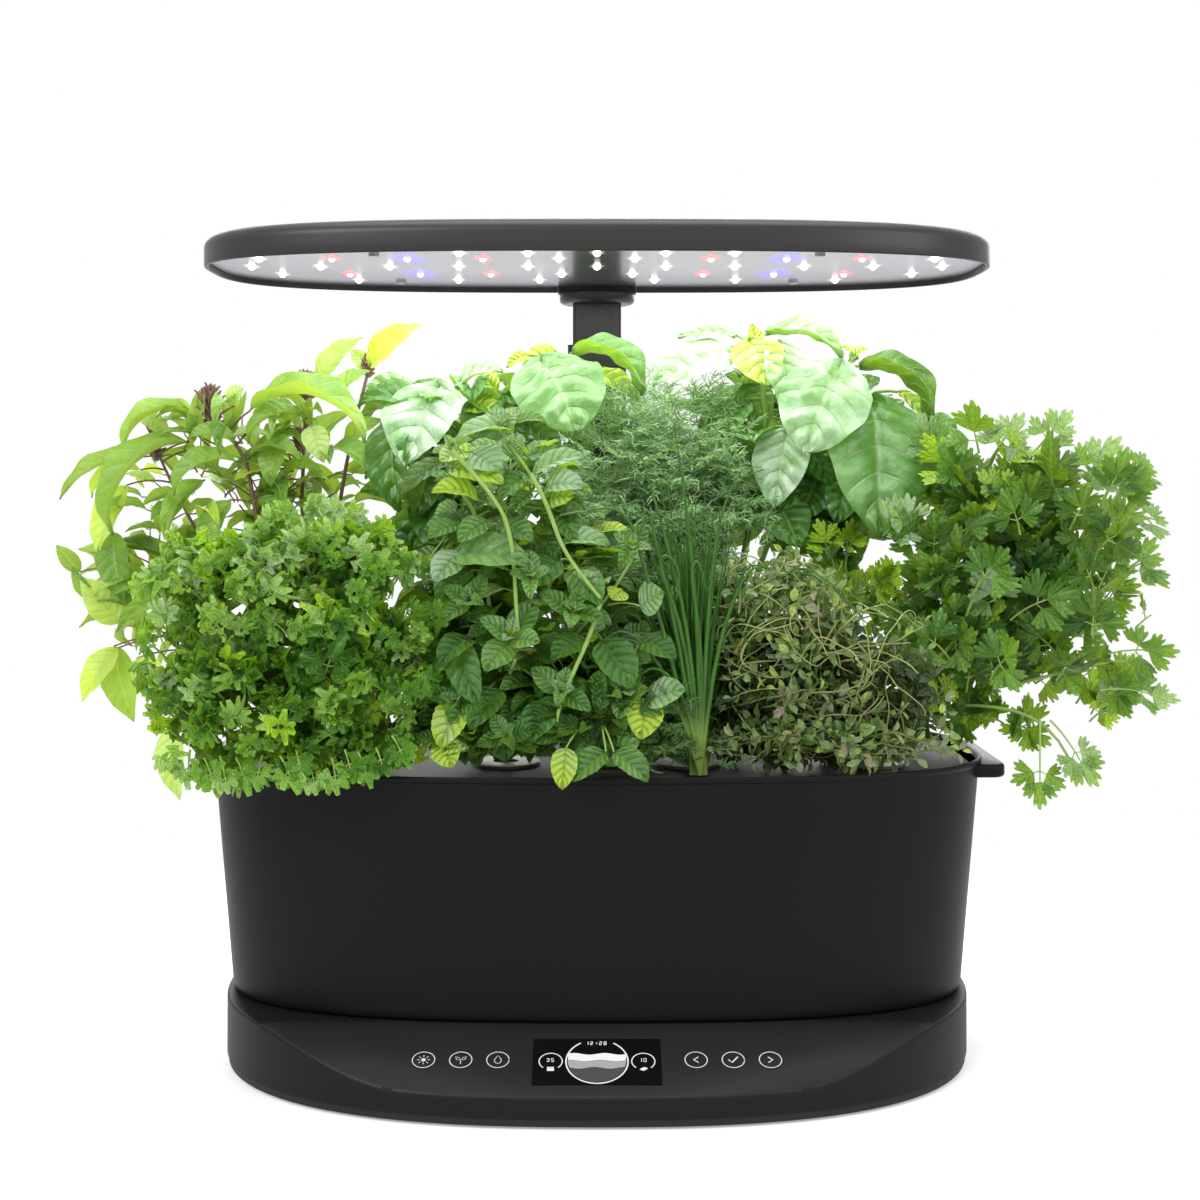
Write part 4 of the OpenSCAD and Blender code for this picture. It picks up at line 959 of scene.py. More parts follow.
class Herb:
    """One plant: leaves and stems, gathered into a single piece that stands for a solid."""

    def __init__(self, name, pod, seed):
        self.name, self.chance = name, random.Random(seed)
        self.bm, self.lines, self.count = bmesh.new(), [], 0
        self.root = Vector((*PODS[pod], SPONGE_TOP))

    def leaf(self, shape, base, tip, face, width, tint):
        """Adds a leaf from base to tip, in millimetres, its upper side turned towards face."""
        axis = tip - base
        up = Vector(face).normalized()
        up = up - axis * (up.dot(axis) / axis.length_squared)
        if up.length < 1e-3:
            up = axis.orthogonal()
        up = up.normalized()
        side = axis.normalized().cross(up)
        place = Matrix.Identity(4)
        for column, vector in enumerate((side * axis.length * width, axis, up * axis.length)):
            place.col[column][:3] = vector * MM
        place.col[3][:3] = base * MM
        copy = shape.copy()
        copy.transform(place)
        copy.attributes["tint"].data.foreach_set("value", [tint] * len(copy.vertices))
        self.bm.from_mesh(copy)
        bpy.data.meshes.remove(copy)
        self.count += 1

    def stem(self, points, thick, thin, flat=False):
        """A stem through points, tapering from one diameter to another; a flat one is a ribbon."""
        self.lines.append(([Vector(point) for point in points], thick, thin, flat))

    def tint(self, sunny, tints, light):
        """A leaf's tint: a few leaves are painted sunlit, and the others lie between two tints, shifted
        by light, which paints shade below zero and light above it.
        """
        return 0.95 if self.chance.random() < sunny else self.chance.uniform(*tints) + light

    def spread(self, amount=1.0):
        """A random direction in a ball."""
        while True:
            way = Vector([self.chance.uniform(-1, 1) for _ in range(3)])
            if way.length <= 1:
                return way * amount

    def add_lines(self, flat, sides):
        """Turns the stems, or the ribbons, into a mesh and joins it to the leaves."""
        curve = bpy.data.curves.new(self.name, "CURVE")
        curve.dimensions, curve.resolution_u, curve.use_fill_caps = "3D", 3, True
        if flat:
            curve.extrude = MM
        else:
            curve.bevel_depth, curve.bevel_resolution = MM, sides
        for points, thick, thin, ribbon in self.lines:
            if ribbon != flat:
                continue
            line = curve.splines.new("POLY" if flat or len(points) == 2 else "NURBS")
            line.points.add(len(points) - 1)
            tilt = self.chance.uniform(0, 3) if flat else 0
            for i, (spot, point) in enumerate(zip(line.points, points)):
                spot.co, spot.tilt = (*(point * MM), 1), tilt
                spot.radius = (thick + (thin - thick) * i / (len(points) - 1)) / 2
            line.use_endpoint_u = True
            line.order_u = min(4, len(points))
        holder = bpy.data.objects.new(self.name, curve)
        scene.collection.objects.link(holder)
        stems = bpy.data.meshes.new_from_object(holder.evaluated_get(bpy.context.evaluated_depsgraph_get()))
        bpy.data.objects.remove(holder)
        stems.polygons.foreach_set("material_index", [1] * len(stems.polygons))
        self.bm.from_mesh(stems)

    def finish(self, leaf_finish, stem_finish, slot, sides):
        for flat in (False, True):
            self.add_lines(flat, sides)
        mesh = mesh_of(self.bm, self.name)
        mesh.polygons.foreach_set("use_smooth", [True] * len(mesh.polygons))
        mesh.materials.append(leaf_finish)
        mesh.materials.append(stem_finish)
        show(self.name + "_plant", mesh, "base", slot, (self.name,))
        low, high = (Vector([f(v.co[i] for v in mesh.vertices) for i in range(3)]) / MM for f in (min, max))
        solid = [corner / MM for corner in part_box(self.name)]
        print(self.name, self.count, "leaves,", sum(len(p.vertices) - 2 for p in mesh.polygons), "triangles, box",
              [round(v) for v in (*low, *high)], "solid", [round(v) for v in (*solid[0], *solid[1])])


# Places that stay empty: the way of the fill lid, the mast, and the lamp hood.
KEEP_OUT = [((-22, -88, 150), (22, -46, 190)), ((-27, 101, 150), (27, 150, 420)), ((-230, -90, 417), (230, 130, 460))]
# Half the rim's width and depth, then the lowest a leaf may be over the deck, over the rim and past
# it, and how far to the right.
RIM_HALF, OVER_DECK, OVER_RIM, BELOW_RIM, FAR_RIGHT = (208, 106), 162, 167, 100, 316


def clear(point):
    """True where a leaf may be: over the deck or past the bowl's rim, and in no place that stays empty."""
    if any(all(low[i] < point[i] < high[i] for i in range(3)) for low, high in KEEP_OUT):
        return False
    rim = abs(point.x / RIM_HALF[0]) ** BOWL_SQUARE + abs(point.y / RIM_HALF[1]) ** BOWL_SQUARE
    if point.x > FAR_RIGHT or point.z < (OVER_DECK if rim < 1 else BELOW_RIM):
        return False
    return not (0.93 < rim < 1.12 and point.z < OVER_RIM)


def scatter(herb, clumps, count, inner, grow):
    """Tries places in clumps, each a centre and three radii, until grow has used enough of them."""
    weights = [r[0] * r[1] + r[1] * r[2] + r[0] * r[2] for _, r in clumps]
    made = 0
    for _ in range(count * 4):
        if made == count:
            break
        centre, radii = herb.chance.choices(clumps, weights)[0]
        way = herb.spread().normalized()
        part = inner + (1 - inner) * math.sqrt(herb.chance.random())
        point = Vector([c + w * r * part for c, w, r in zip(centre, way, radii)])
        made += grow(point, way, part, (point.z - centre[2]) / radii[2])


def fill(herb, clumps, count, shapes, sizes, tints=(0.2, 0.7), droop=0.3, front=0.5, inner=0.5, stalk=0.5,
         thick=1.2, wild=0.4, sunny=0.05):
    """Scatters single leaves over clumps, more of them near the outside."""
    chance = herb.chance

    def grow(point, way, part, rise):
        flat = Vector((way.x, way.y, way.z * 0.5))
        out = (flat + herb.spread(wild) + Vector((0, 0, -droop * chance.random()))).normalized()
        size = chance.uniform(*sizes)
        base, tip = point - out * size / 2, point + out * size / 2
        if not (clear(base) and clear(tip)):
            return False
        face = way * 0.4 + Vector((0, -front, 0.7)) + herb.spread(wild)
        # Leaves deep inside and low down get less light and are darker.
        tint = herb.tint(sunny, tints, rise * 0.12 + (part - 0.8) * 0.5)
        herb.leaf(chance.choice(shapes), base, tip, face, chance.uniform(0.9, 1.1), tint)
        if stalk:
            inward = base - out * size * stalk + Vector((0, 0, -size * stalk * 0.4))
            if clear(inward):
                herb.stem([inward, (inward + base) / 2 + herb.spread(size * 0.05), base], thick, thick * 0.7)
        return True

    scatter(herb, clumps, count, inner, grow)


FRAME_DOTS = 1200
LENS_DOTS = round(FRAME_DOTS * LENS / SENSOR)
MIDDLE_DOTS = round(FRAME_DOTS * (0.5 - SHIFT[0])), round(FRAME_DOTS * (0.5 + SHIFT[1]))


def sight(across, down, depth):
    """The place, in millimetres, that the camera sees at a dot of its 1200-dot frame, at a depth."""
    far = (CAMERA_BACK + depth) / LENS_DOTS
    return Vector(((across - MIDDLE_DOTS[0]) * far, depth, CAMERA_UP - (down - MIDDLE_DOTS[1]) * far))


# %% [markdown]
# ## Leaf finishes
# A leaf is thin, so half of its colour is light that comes through it from behind, and that light
# is yellower than what it reflects. The finish mixes a glossy green shader with a translucent one.
# The veins come from the UV map: the midrib is where u is in the middle, and the side veins are
# stripes that slant forward. A ramp turns each leaf's tint from a deep green, the colour of old
# leaves and painted shade deep inside, through the leaf's own greens to a pale painted highlight
# and a painted sunlit yellow-green.

# %% Leaves and stems


def leaf_finish(name, greens, vein, through, share=0.3, ribs=6, slope=1.2, gloss=0.40, relief=0.5, vein_show=0.5,
                sheen=0.5, cockle=300):
    finish = Finish(name, Specular_IOR_Level=sheen)
    u, v, _ = finish.axes(finish.node("ShaderNodeUVMap", {"uv_map": "UVMap"}))
    across = abs(u * 2 - 1)
    slant = v * ribs - across * slope
    comb = abs(slant.sum("FRACT", slant) * 2 - 1)
    side_vein = comb.steps(0.82, 1.0) * (1 - across.steps(0.6, 1.0))
    midrib = 1 - across.steps(0.0, 0.10)
    lines = midrib.sum("MAXIMUM", side_vein * 0.6, midrib)
    place = finish.place()
    cloud = finish.grain(place, 60, 3)
    fine = finish.grain(place, 900, 3)
    wrinkles_and_crease_shade = finish.grain(place, cockle, 2)
    tint = finish.node("ShaderNodeAttribute", {"attribute_name": "tint"}, out="Fac")
    # Wrinkles also shift the colour, lighter on their ridges and darker in their creases: painted light and shade.
    mood = tint + (cloud - 0.5) * 0.5 + (fine - 0.5) * 0.12 + (wrinkles_and_crease_shade - 0.5) * 0.2
    # The stops: deep green, which is both old leaves and painted shade; two greens of the leaf's own; pale, mostly a
    # painted highlight; and yellow-green, painted sunlight coming through.
    stops = [(at, tone(*greens[i])) for i, at in ((0, 0.0), (4, 0.95), (1, 0.30), (2, 0.52), (3, 0.72))]
    ramp = finish.node("ShaderNodeValToRGB", {"stops": stops}, {"Fac": mood})
    finish.skin(finish.blend(lines * vein_show, ramp, tone(*vein)))
    finish.set("Roughness", cloud * 0.15 + fine * 0.1 + (gloss - 0.12))
    finish.relief((1 - comb * comb) * 0.6 + fine * 0.15 + wrinkles_and_crease_shade * 0.9 - lines * 0.5, relief, 0.0014)
    finish.let_through(share, (*through, 1))
    return finish.material


def stem_finish(name, color, young, through=(0.35, 0.5, 0.06), shade=0.0, low=0.17, high=0.28, root=None):
    """Stems with streaks. Towards the deck they darken, a painted shade, unless a root colour of their own is given,
    which they turn to instead; shade says how much.
    """
    finish = Finish(name, Specular_IOR_Level=0.4)
    place = finish.place()
    streak = finish.grain(finish.stretch(place, (6, 6, 1)), 60, 3)
    height = finish.axes(place)[2].steps(low, high)
    bright = finish.blend(streak, color, young)
    finish.skin(finish.blend(height * shade + (1 - shade), root or shift(color, 0.25), bright) if shade else bright)
    finish.set("Roughness", streak * 0.15 + 0.4)
    finish.relief(streak, 0.3, 0.0003)
    finish.let_through(0.2, (*through, 1))
    return finish.material


leaves = {key: leaf_finish(name, *values) for key, name, *values in (
    ("thai", "leaf_thai_basil", [(38, 80, 26), (94, 142, 48), (138, 176, 78), (190, 214, 140), (190, 214, 70)],
     (178, 206, 120), (0.52, 0.72, 0.06), 0.32, 7, 1.3, 0.40, 0.4),
    ("basil", "leaf_basil", [(28, 78, 26), (76, 132, 48), (134, 180, 116), (200, 222, 198), (186, 212, 72)],
     (196, 222, 170), (0.40, 0.68, 0.05), 0.26, 5.5, 1.1, 0.32, 1.0, 0.4, 0.7, 150),
    ("dill", "leaf_dill", [(60, 104, 66), (84, 130, 76), (104, 150, 96), (150, 186, 96), (176, 200, 176)],
     (160, 190, 150), (0.4, 0.6, 0.15), 0.2),
    ("parsley", "leaf_parsley", [(18, 50, 10), (52, 98, 20), (92, 136, 50), (150, 176, 140), (170, 208, 40)],
     (110, 160, 80), (0.42, 0.66, 0.02), 0.32, 4, 2.0, 0.38, 0.6, 0.35),
    ("curly", "leaf_curly", [(22, 62, 10), (80, 140, 30), (144, 188, 82), (176, 202, 154), (170, 214, 44)],
     (120, 170, 84), (0.44, 0.70, 0.02), 0.32, 4, 2.0, 0.36, 0.6, 0.3),
    ("mint", "leaf_mint", [(12, 40, 10), (58, 108, 36), (116, 158, 90), (160, 186, 158), (176, 206, 66)],
     (150, 186, 120), (0.46, 0.72, 0.03), 0.32, 6, 1.4, 0.42, 0.9, 0.28, 0.5, 420),
    ("chives", "leaf_chives", [(14, 34, 12), (44, 84, 30), (84, 142, 54), (136, 184, 66), (214, 226, 200)],
     (120, 170, 80), (0.4, 0.65, 0.05), 0.2),
    ("thyme", "leaf_thyme", [(22, 42, 14), (70, 100, 42), (124, 152, 92), (132, 108, 104), (158, 182, 84)],
     (140, 160, 110), (0.38, 0.52, 0.10), 0.2, 2, 1.0),
)}
# Dill and thyme darken towards the deck: painted shade. The chives' pale root colour is their own.
stems = {
    "green": stem_finish("stem_green", tone(120, 160, 70), tone(168, 198, 108)),
    "purple": stem_finish("stem_purple", tone(122, 74, 92), tone(150, 128, 100), (0.4, 0.25, 0.2)),
    "dill": stem_finish("thread_dill", tone(96, 142, 70), tone(166, 196, 150), (0.4, 0.62, 0.15), 0.85, 0.20, 0.30),
    "chives": stem_finish("blade_chives", tone(16, 54, 12), tone(74, 124, 36), (0.3, 0.56, 0.04), 0.8, 0.165, 0.2,
                          tone(140, 170, 76)),
    "thyme": stem_finish("stem_thyme", tone(116, 124, 66), tone(192, 202, 132), shade=0.6, high=0.24),
}
print("leaf finishes:", len(leaves), "stem finishes:", len(stems))

# %% [markdown]
# ## Sweet basil
# Sweet basil has big puckered leaves that arch over and hang, in crossed pairs on a square stem.
# They are the nearest and largest leaves on show, so each one is placed by its two ends, and a few
# small ones fill the inside. Two pods hold it, at the left and the right of the dill.

# %% Basil leaves, and placing them
basil_shapes = leaf_family("basil", 0.78, 14, 24, [
    (0.42, 0.62, 0.25, 0.9), (0.45, 0.56, 0.4, 1.3), (0.40, 0.68, 0.15, 0.6), (0.44, 0.60, 0.55, 1.7),
], tip_curl=1.3, quilt=0.042, ribs=5.5, slope=1.1, wave=0.02, waves=2.5)
basil_cup = leaf_shape("basil_cup", lambda t: oval(t, 0.6, 0.45), 0.86, 16, 24, fold=-0.12, arch=1.2, quilt=0.060,
                       ribs=5.5, slope=1.0, wave=0.035, seed=9)


DOT_MM, STALK_REACH = 0.56, 45


# In the rows a tint of 0.95 paints a sunlit leaf, and tints near 0.7 give the pale of a painted highlight.
def place(herb, rows, shapes, joints, thick=1.6):
    """Places leaves listed as base, tip, depth at both, width, tint, facing and shape.

    Base, tip and width are in dots of the camera's frame, and a leaf hangs from the nearest joint."""
    for bx, by, tx, ty, near, far, width, tint, face, kind in rows:
        base, tip = sight(bx, by, near), sight(tx, ty, far)
        shape = shapes[kind]
        ratio = max(abs(v.co.x) for v in shape.vertices) * 2
        herb.leaf(shape, base, tip, face, width * DOT_MM / ((tip - base).length * ratio), tint)
        joint = min(joints, key=lambda spot: (spot - base).length + max(0, spot.z - base.z))
        if (joint - base).length < STALK_REACH:
            middle = (joint + base) / 2 + Vector((0, 0, (joint - base).length * 0.15))
            herb.stem([joint, middle, base], thick, thick * 0.8)


JOINTS_EACH = 8


def trunk(herb, start, route, thick, thin):
    """A stem from the pod through start, in millimetres, and the spots of a route that the camera
    sees, and points along it that leaves can hang from."""
    points = [herb.root, Vector(start)] + [sight(*spot) for spot in route]
    herb.stem(points, thick, thin)
    return [a.lerp(b, (k + 1) / JOINTS_EACH) for a, b in zip(points, points[1:]) for k in range(JOINTS_EACH)]


# %% The left sweet basil
herb = Herb("basil_left", 5, 51)
joints = trunk(herb, (-80, 42, 240), [(507, 520, 46), (500, 440, 44), (497, 392, 44)], 4.2, 2.4)
joints += trunk(herb, (-74, 48, 230), [(530, 500, 50), (552, 425, 44), (562, 366, 42)], 3.6, 2.2)
joints += trunk(herb, (-80, 44, 240), [(470, 480, 42), (445, 420, 34), (437, 392, 30)], 3.4, 2.2)
place(herb, [
    (440, 383, 405, 466, 28, 4, 86, 0.60, (-0.3, -0.9, 0.9), 2),
    (395, 415, 400, 512, 24, 14, 52, 0.16, (-0.5, -0.9, 0.3), 0),
    (432, 455, 415, 517, 30, 22, 40, 0.02, (0.2, -1, 0.3), 0),
    (447, 440, 458, 500, 36, 26, 34, 0.00, (0.4, -1, 0.2), 1),
    (455, 392, 503, 372, 30, 22, 32, 0.62, (0, -0.6, 1), 1),
    (466, 408, 503, 412, 26, 18, 30, 0.95, (0.1, -0.8, 0.8), 0),
    (528, 355, 507, 368, 56, 60, 18, 0.95, (0, -0.7, 0.7), 0),
    (556, 351, 524, 372, 60, 66, 28, 0.95, (-0.3, -0.7, 0.9), 1),
    (541, 357, 578, 432, 20, -6, 96, 0.47, (0.15, -1, 0.45), 4),
    (573, 352, 641, 396, 34, 24, 42, 0.30, (0.5, -0.5, 1), 3),
    (592, 372, 640, 402, 40, 34, 26, 0.95, (0.3, -0.8, 0.5), 0),
    (519, 420, 560, 452, 34, 22, 34, 0.18, (0.3, -0.8, 0.6), 0),
    (500, 430, 488, 487, 34, 22, 46, 0.52, (-0.2, -0.9, 0.5), 1),
    (486, 398, 470, 440, 30, 22, 34, 0.45, (-0.2, -0.9, 0.6), 0),
    (560, 372, 590, 430, 50, 48, 40, 0.25, (0.4, -0.8, 0.5), 0),
    (500, 395, 540, 400, 50, 52, 34, 0.30, (0, -0.7, 0.8), 2),
    (470, 430, 440, 446, 44, 40, 36, 0.12, (-0.3, -0.9, 0.5), 0),
    (524, 450, 516, 506, 50, 44, 44, 0.08, (0, -0.9, 0.4), 0),
    (556, 425, 604, 446, 48, 44, 36, 0.14, (0.3, -0.7, 0.7), 2),
    (497, 392, 478, 374, 42, 50, 20, 0.95, (-0.2, -0.6, 0.8), 1),
], basil_shapes + [basil_cup], joints)
fill(herb, [((-72, 50, 335), (58, 38, 36)), ((-84, 52, 300), (46, 36, 30))], 34, basil_shapes, (26, 42),
     tints=(0.05, 0.42),
     inner=0.35)
# A second layer of leaves deep inside, in dark tints: painted shade.
fill(herb, [((-76, 60, 300), (44, 30, 34)), ((-84, 40, 258), (44, 28, 32)), ((-76, 72, 320), (40, 18, 40))], 60,
     basil_shapes, (26, 38),
     tints=(0.0, 0.2), inner=0.1)
herb.finish(leaves["basil"], stems["green"], "leaf_basil", 2)

# %% The right sweet basil
herb = Herb("basil_right", 7, 71)
joints = trunk(herb, (76, 42, 235), [(766, 470, 38), (768, 415, 32), (758, 352, 30)], 5.0, 2.8)
joints += trunk(herb, (82, 46, 240), [(800, 480, 40), (818, 420, 34), (842, 372, 30)], 4.2, 2.6)
joints += trunk(herb, (84, 50, 235), [(820, 500, 52), (858, 440, 50), (868, 395, 46)], 4.0, 2.6)
place(herb, [
    (736, 335, 678, 337, 40, 34, 32, 0.60, (0, -0.6, 1), 2),
    (735, 352, 652, 384, 28, 12, 62, 0.60, (-0.2, -0.8, 0.9), 2),
    (749, 338, 768, 386, 22, 8, 54, 0.95, (0, -1, 0.5), 2),
    (766, 333, 842, 358, 34, 26, 30, 0.52, (0.1, -0.6, 1), 1),
    (778, 341, 788, 409, 24, 12, 46, 0.62, (0.2, -1, 0.4), 0),
    (858, 358, 840, 347, 34, 30, 16, 0.95, (0, -0.6, 1), 0),
    (850, 360, 868, 350, 34, 34, 16, 0.95, (0, -0.6, 1), 1),
    (842, 362, 804, 453, 16, -8, 92, 0.58, (-0.1, -1, 0.5), 4),
    (872, 396, 880, 538, 24, 0, 118, 0.36, (0.25, -1, 0.45), 2),
    (902, 430, 914, 492, 30, 22, 40, 0.95, (0.4, -0.9, 0.4), 0),
    (859, 366, 928, 424, 34, 26, 38, 0.10, (0.4, -0.5, 1), 3),
    (898, 392, 930, 428, 40, 34, 24, 0.95, (0.5, -0.8, 0.4), 0),
    (788, 428, 774, 508, 22, 8, 58, 0.66, (-0.2, -0.9, 0.6), 2),
    (776, 498, 800, 548, 26, 14, 50, 0.26, (0, -1, 0.4), 2),
    (824, 520, 818, 566, 30, 20, 40, 0.10, (0, -1, 0.4), 0),
    (800, 440, 830, 486, 30, 22, 44, 0.24, (0.3, -0.9, 0.5), 0),
    (820, 470, 800, 520, 36, 28, 46, 0.12, (0, -0.9, 0.4), 1),
    (746, 400, 722, 440, 34, 24, 40, 0.34, (-0.4, -0.8, 0.6), 0),
    (716, 350, 694, 372, 44, 44, 30, 0.50, (-0.3, -0.6, 0.9), 0),
    (870, 440, 916, 470, 46, 42, 42, 0.22, (0.5, -0.7, 0.6), 0),
    (790, 372, 812, 400, 40, 36, 34, 0.40, (0.2, -0.8, 0.8), 1),
    (757, 352, 752, 324, 32, 38, 16, 0.95, (0, -0.9, 0.5), 0),
    (744, 384, 764, 430, 40, 34, 40, 0.20, (0.1, -0.9, 0.4), 0),
    (850, 470, 836, 524, 30, 22, 40, 0.30, (0, -0.9, 0.5), 0),
    (900, 470, 926, 512, 44, 40, 34, 0.66, (0.5, -0.8, 0.4), 1),
], basil_shapes + [basil_cup], joints, 2.0)
fill(herb, [((104, 50, 340), (54, 38, 36)), ((158, 54, 320), (44, 34, 44)), ((110, 52, 300), (60, 36, 34))], 56,
     basil_shapes,
     (28, 46), tints=(0.05, 0.42), inner=0.35)
# A second layer of leaves deep inside, in dark tints: painted shade.
fill(herb, [((112, 60, 296), (56, 28, 34)), ((120, 74, 330), (60, 20, 50)), ((136, 56, 270), (44, 24, 26))], 70,
     basil_shapes, (26, 40),
     tints=(0.0, 0.25), inner=0.1)
herb.finish(leaves["basil"], stems["green"], "leaf_basil", 2)

# %% [markdown]
# ## Thai basil
# This basil is looser than sweet basil: long narrow leaves that arch and hang, on purple stems that
# end in tight heads of purple bracts. It leans out over the left end of the bowl.

# %% Thai basil
thai_shapes = leaf_family("thai", 0.95, 8, 18, [
    (0.42, 0.40, 0.5, 1.2), (0.45, 0.34, 0.7, 2.0), (0.40, 0.46, 0.35, 0.7), (0.44, 0.36, 0.6, 2.9),
], 20, tip_curl=1.2, quilt=0.010, ribs=7, slope=1.3, wave=0.015, teeth=0.04, tooth_count=9)
herb = Herb("thai_basil", 4, 41)
joints = trunk(herb, (-162, 40, 215), [(275, 600, 30), (250, 490, 24), (248, 454, 22), (221, 427, 20),
                      (211, 412, 20)], 3.4, 1.8)
joints += trunk(herb, (-158, 44, 225), [(300, 560, 40), (303, 470, 36), (305, 420, 34), (307, 394, 34)], 3.2, 1.8)
joints += trunk(herb, (-168, 42, 215), [(240, 610, 34), (190, 520, 30), (165, 470, 28), (157, 450, 28)], 2.8, 1.6)
joints += trunk(herb, (-150, 46, 230), [(330, 540, 44), (350, 440, 42), (368, 372, 40)], 3.0, 1.8)
joints += trunk(herb, (-170, 40, 200), [(220, 660, 30), (150, 600, 24), (112, 560, 22)], 2.4, 1.4)
place(herb, [
    (250, 411, 365, 443, 14, 4, 42, 0.50, (0.1, -0.4, 1), 1),
    (307, 419, 248, 444, 20, 12, 30, 0.40, (-0.2, -0.5, 1), 1),
    (334, 403, 371, 371, 30, 26, 26, 0.50, (0, -0.7, 0.8), 0),
    (369, 368, 422, 325, 38, 34, 30, 0.95, (-0.2, -0.9, 0.4), 0),
    (318, 384, 363, 338, 40, 40, 26, 0.60, (-0.2, -0.9, 0.4), 0),
    (310, 426, 324, 463, 20, 14, 27, 0.72, (0.1, -1, 0.3), 0),
    (283, 440, 271, 487, 22, 14, 30, 0.42, (-0.3, -0.9, 0.4), 0),
    (283, 481, 321, 472, 22, 18, 26, 0.36, (0.2, -0.6, 0.9), 1),
    (192, 412, 125, 455, 24, 16, 32, 0.44, (-0.3, -0.5, 1), 1),
    (165, 422, 198, 419, 26, 26, 18, 0.50, (0, -0.6, 0.9), 0),
    (142, 419, 168, 441, 28, 26, 20, 0.62, (0, -0.8, 0.7), 1),
    (235, 446, 188, 440, 20, 14, 24, 0.48, (-0.1, -0.7, 0.8), 1),
    (189, 442, 113, 535, 22, 10, 36, 0.40, (-0.5, -0.7, 0.7), 1),
    (144, 457, 60, 500, 28, 20, 26, 0.20, (-0.3, -0.6, 0.8), 0),
    (141, 470, 92, 498, 30, 26, 22, 0.95, (-0.2, -0.8, 0.6), 1),
    (127, 485, 97, 556, 28, 18, 36, 0.90, (-0.4, -0.9, 0.3), 2),
    (113, 532, 124, 604, 22, 14, 36, 0.24, (-0.2, -0.9, 0.3), 2),
    (187, 451, 205, 471, 24, 20, 16, 0.45, (0, -0.8, 0.6), 0),
    (237, 462, 174, 496, 18, 8, 30, 0.42, (-0.3, -0.7, 0.8), 1),
    (235, 406, 243, 388, 20, 22, 18, 0.66, (-0.2, -0.9, 0.3), 3),
    (252, 455, 300, 462, 18, 10, 24, 0.40, (0.1, -0.6, 0.9), 1),
    (262, 420, 282, 386, 30, 34, 24, 0.50, (-0.2, -0.9, 0.4), 0),
    (330, 450, 372, 478, 30, 22, 28, 0.34, (0.3, -0.7, 0.7), 1),
    (345, 446, 385, 420, 38, 34, 24, 0.46, (0, -0.8, 0.6), 0),
    (205, 480, 165, 540, 22, 12, 30, 0.40, (-0.4, -0.8, 0.5), 0),
    (230, 500, 205, 560, 20, 10, 30, 0.32, (-0.3, -0.9, 0.4), 0),
    (260, 498, 300, 540, 22, 14, 28, 0.30, (0.3, -0.8, 0.6), 0),
    (122, 622, 80, 577, 22, 16, 36, 0.84, (-0.2, -0.8, 0.5), 2),
    (80, 572, 56, 545, 20, 20, 18, 0.16, (-0.1, -0.9, 0.5), 2),
    (92, 598, 72, 566, 20, 16, 16, 0.24, (-0.4, -0.9, 0.5), 2),
    (118, 648, 82, 702, 20, 12, 32, 0.88, (-0.3, -0.9, 0.4), 2),
    (114, 646, 134, 722, 24, 18, 38, 0.30, (-0.2, -0.9, 0.4), 2),
    (137, 658, 174, 714, 20, 12, 34, 0.93, (0.1, -0.9, 0.3), 2),
    (170, 728, 180, 800, 18, 10, 32, 0.66, (-0.2, -0.9, 0.4), 2),
    (170, 570, 140, 632, 24, 16, 28, 0.34, (-0.4, -0.9, 0.4), 0),
    (368, 372, 352, 350, 42, 46, 18, 0.62, (0, -0.8, 0.5), 0),
], thai_shapes, joints, 1.3)
herb.stem([sight(220, 660, 30), sight(190, 688, 24), sight(170, 728, 18)], 2.0, 0.6)
fill(herb, [((-214, 40, 300), (62, 40, 50)), ((-170, 46, 320), (46, 38, 40)), ((-236, 34, 250), (50, 36, 50))], 120,
     thai_shapes,
     (20, 36), tints=(0.12, 0.55), inner=0.35, thick=1.1)
# Leaves deep inside, in dark tints: painted shade.
fill(herb, [((-180, 52, 270), (60, 30, 60))], 50, thai_shapes, (20, 34), tints=(0.0, 0.25), inner=0.2, thick=1.2)
for (across, down), depth, wide, tall in (((210, 408), 20, 24, 22), ((307, 388), 34, 22, 14), ((156, 444), 28, 18, 18),
                                          ((299, 440), 30, 10, 12), ((368, 366), 40, 12, 12),
                                          ((112, 556), 22, 12, 12)):
    head = sight(across, down, depth) - Vector((0, 0, tall / 2))
    for k in range(46):
        turn, level = k * 2.4, k / 46
        out = Vector((math.cos(turn), math.sin(turn), 0.5 + level))
        start = head + Vector((0, 0, tall * level))
        reach = wide / 2 * math.sin(math.pi * (0.2 + 0.75 * level)) ** 0.7
        end = start + out.normalized() * reach * herb.chance.uniform(0.75, 1.1)
        herb.stem([start, start.lerp(end, 0.6) + Vector((0, 0, 0.6)), end], 2.8, 1.0)
herb.finish(leaves["thai"], stems["purple"], "leaf_thai_basil", 1)

# %% [markdown]
# ## Mint
# Mint grows as square stems with crossed pairs of wrinkled, saw-edged leaves, and each stem ends in
# a rosette seen from above as a small star. A rosette is pairs of leaves, each pair smaller and
# more upright than the pair below it and turned a quarter of the way round.

# %% Mint leaves and rosettes
mint_small, mint_shapes = (leaf_family("mint", 0.75, across, along, [
    (0.42, 0.62, 0.3, 0.8), (0.40, 0.54, 0.45, 1.3), (0.45, 0.70, 0.2, 0.5),
], 30, tip_curl=1.2, quilt=0.028, slope=1.4, wave=0.012, teeth=0.09, tooth_count=9)
    for across, along in ((6, 9), (12, 18)))


PAIRS = 4


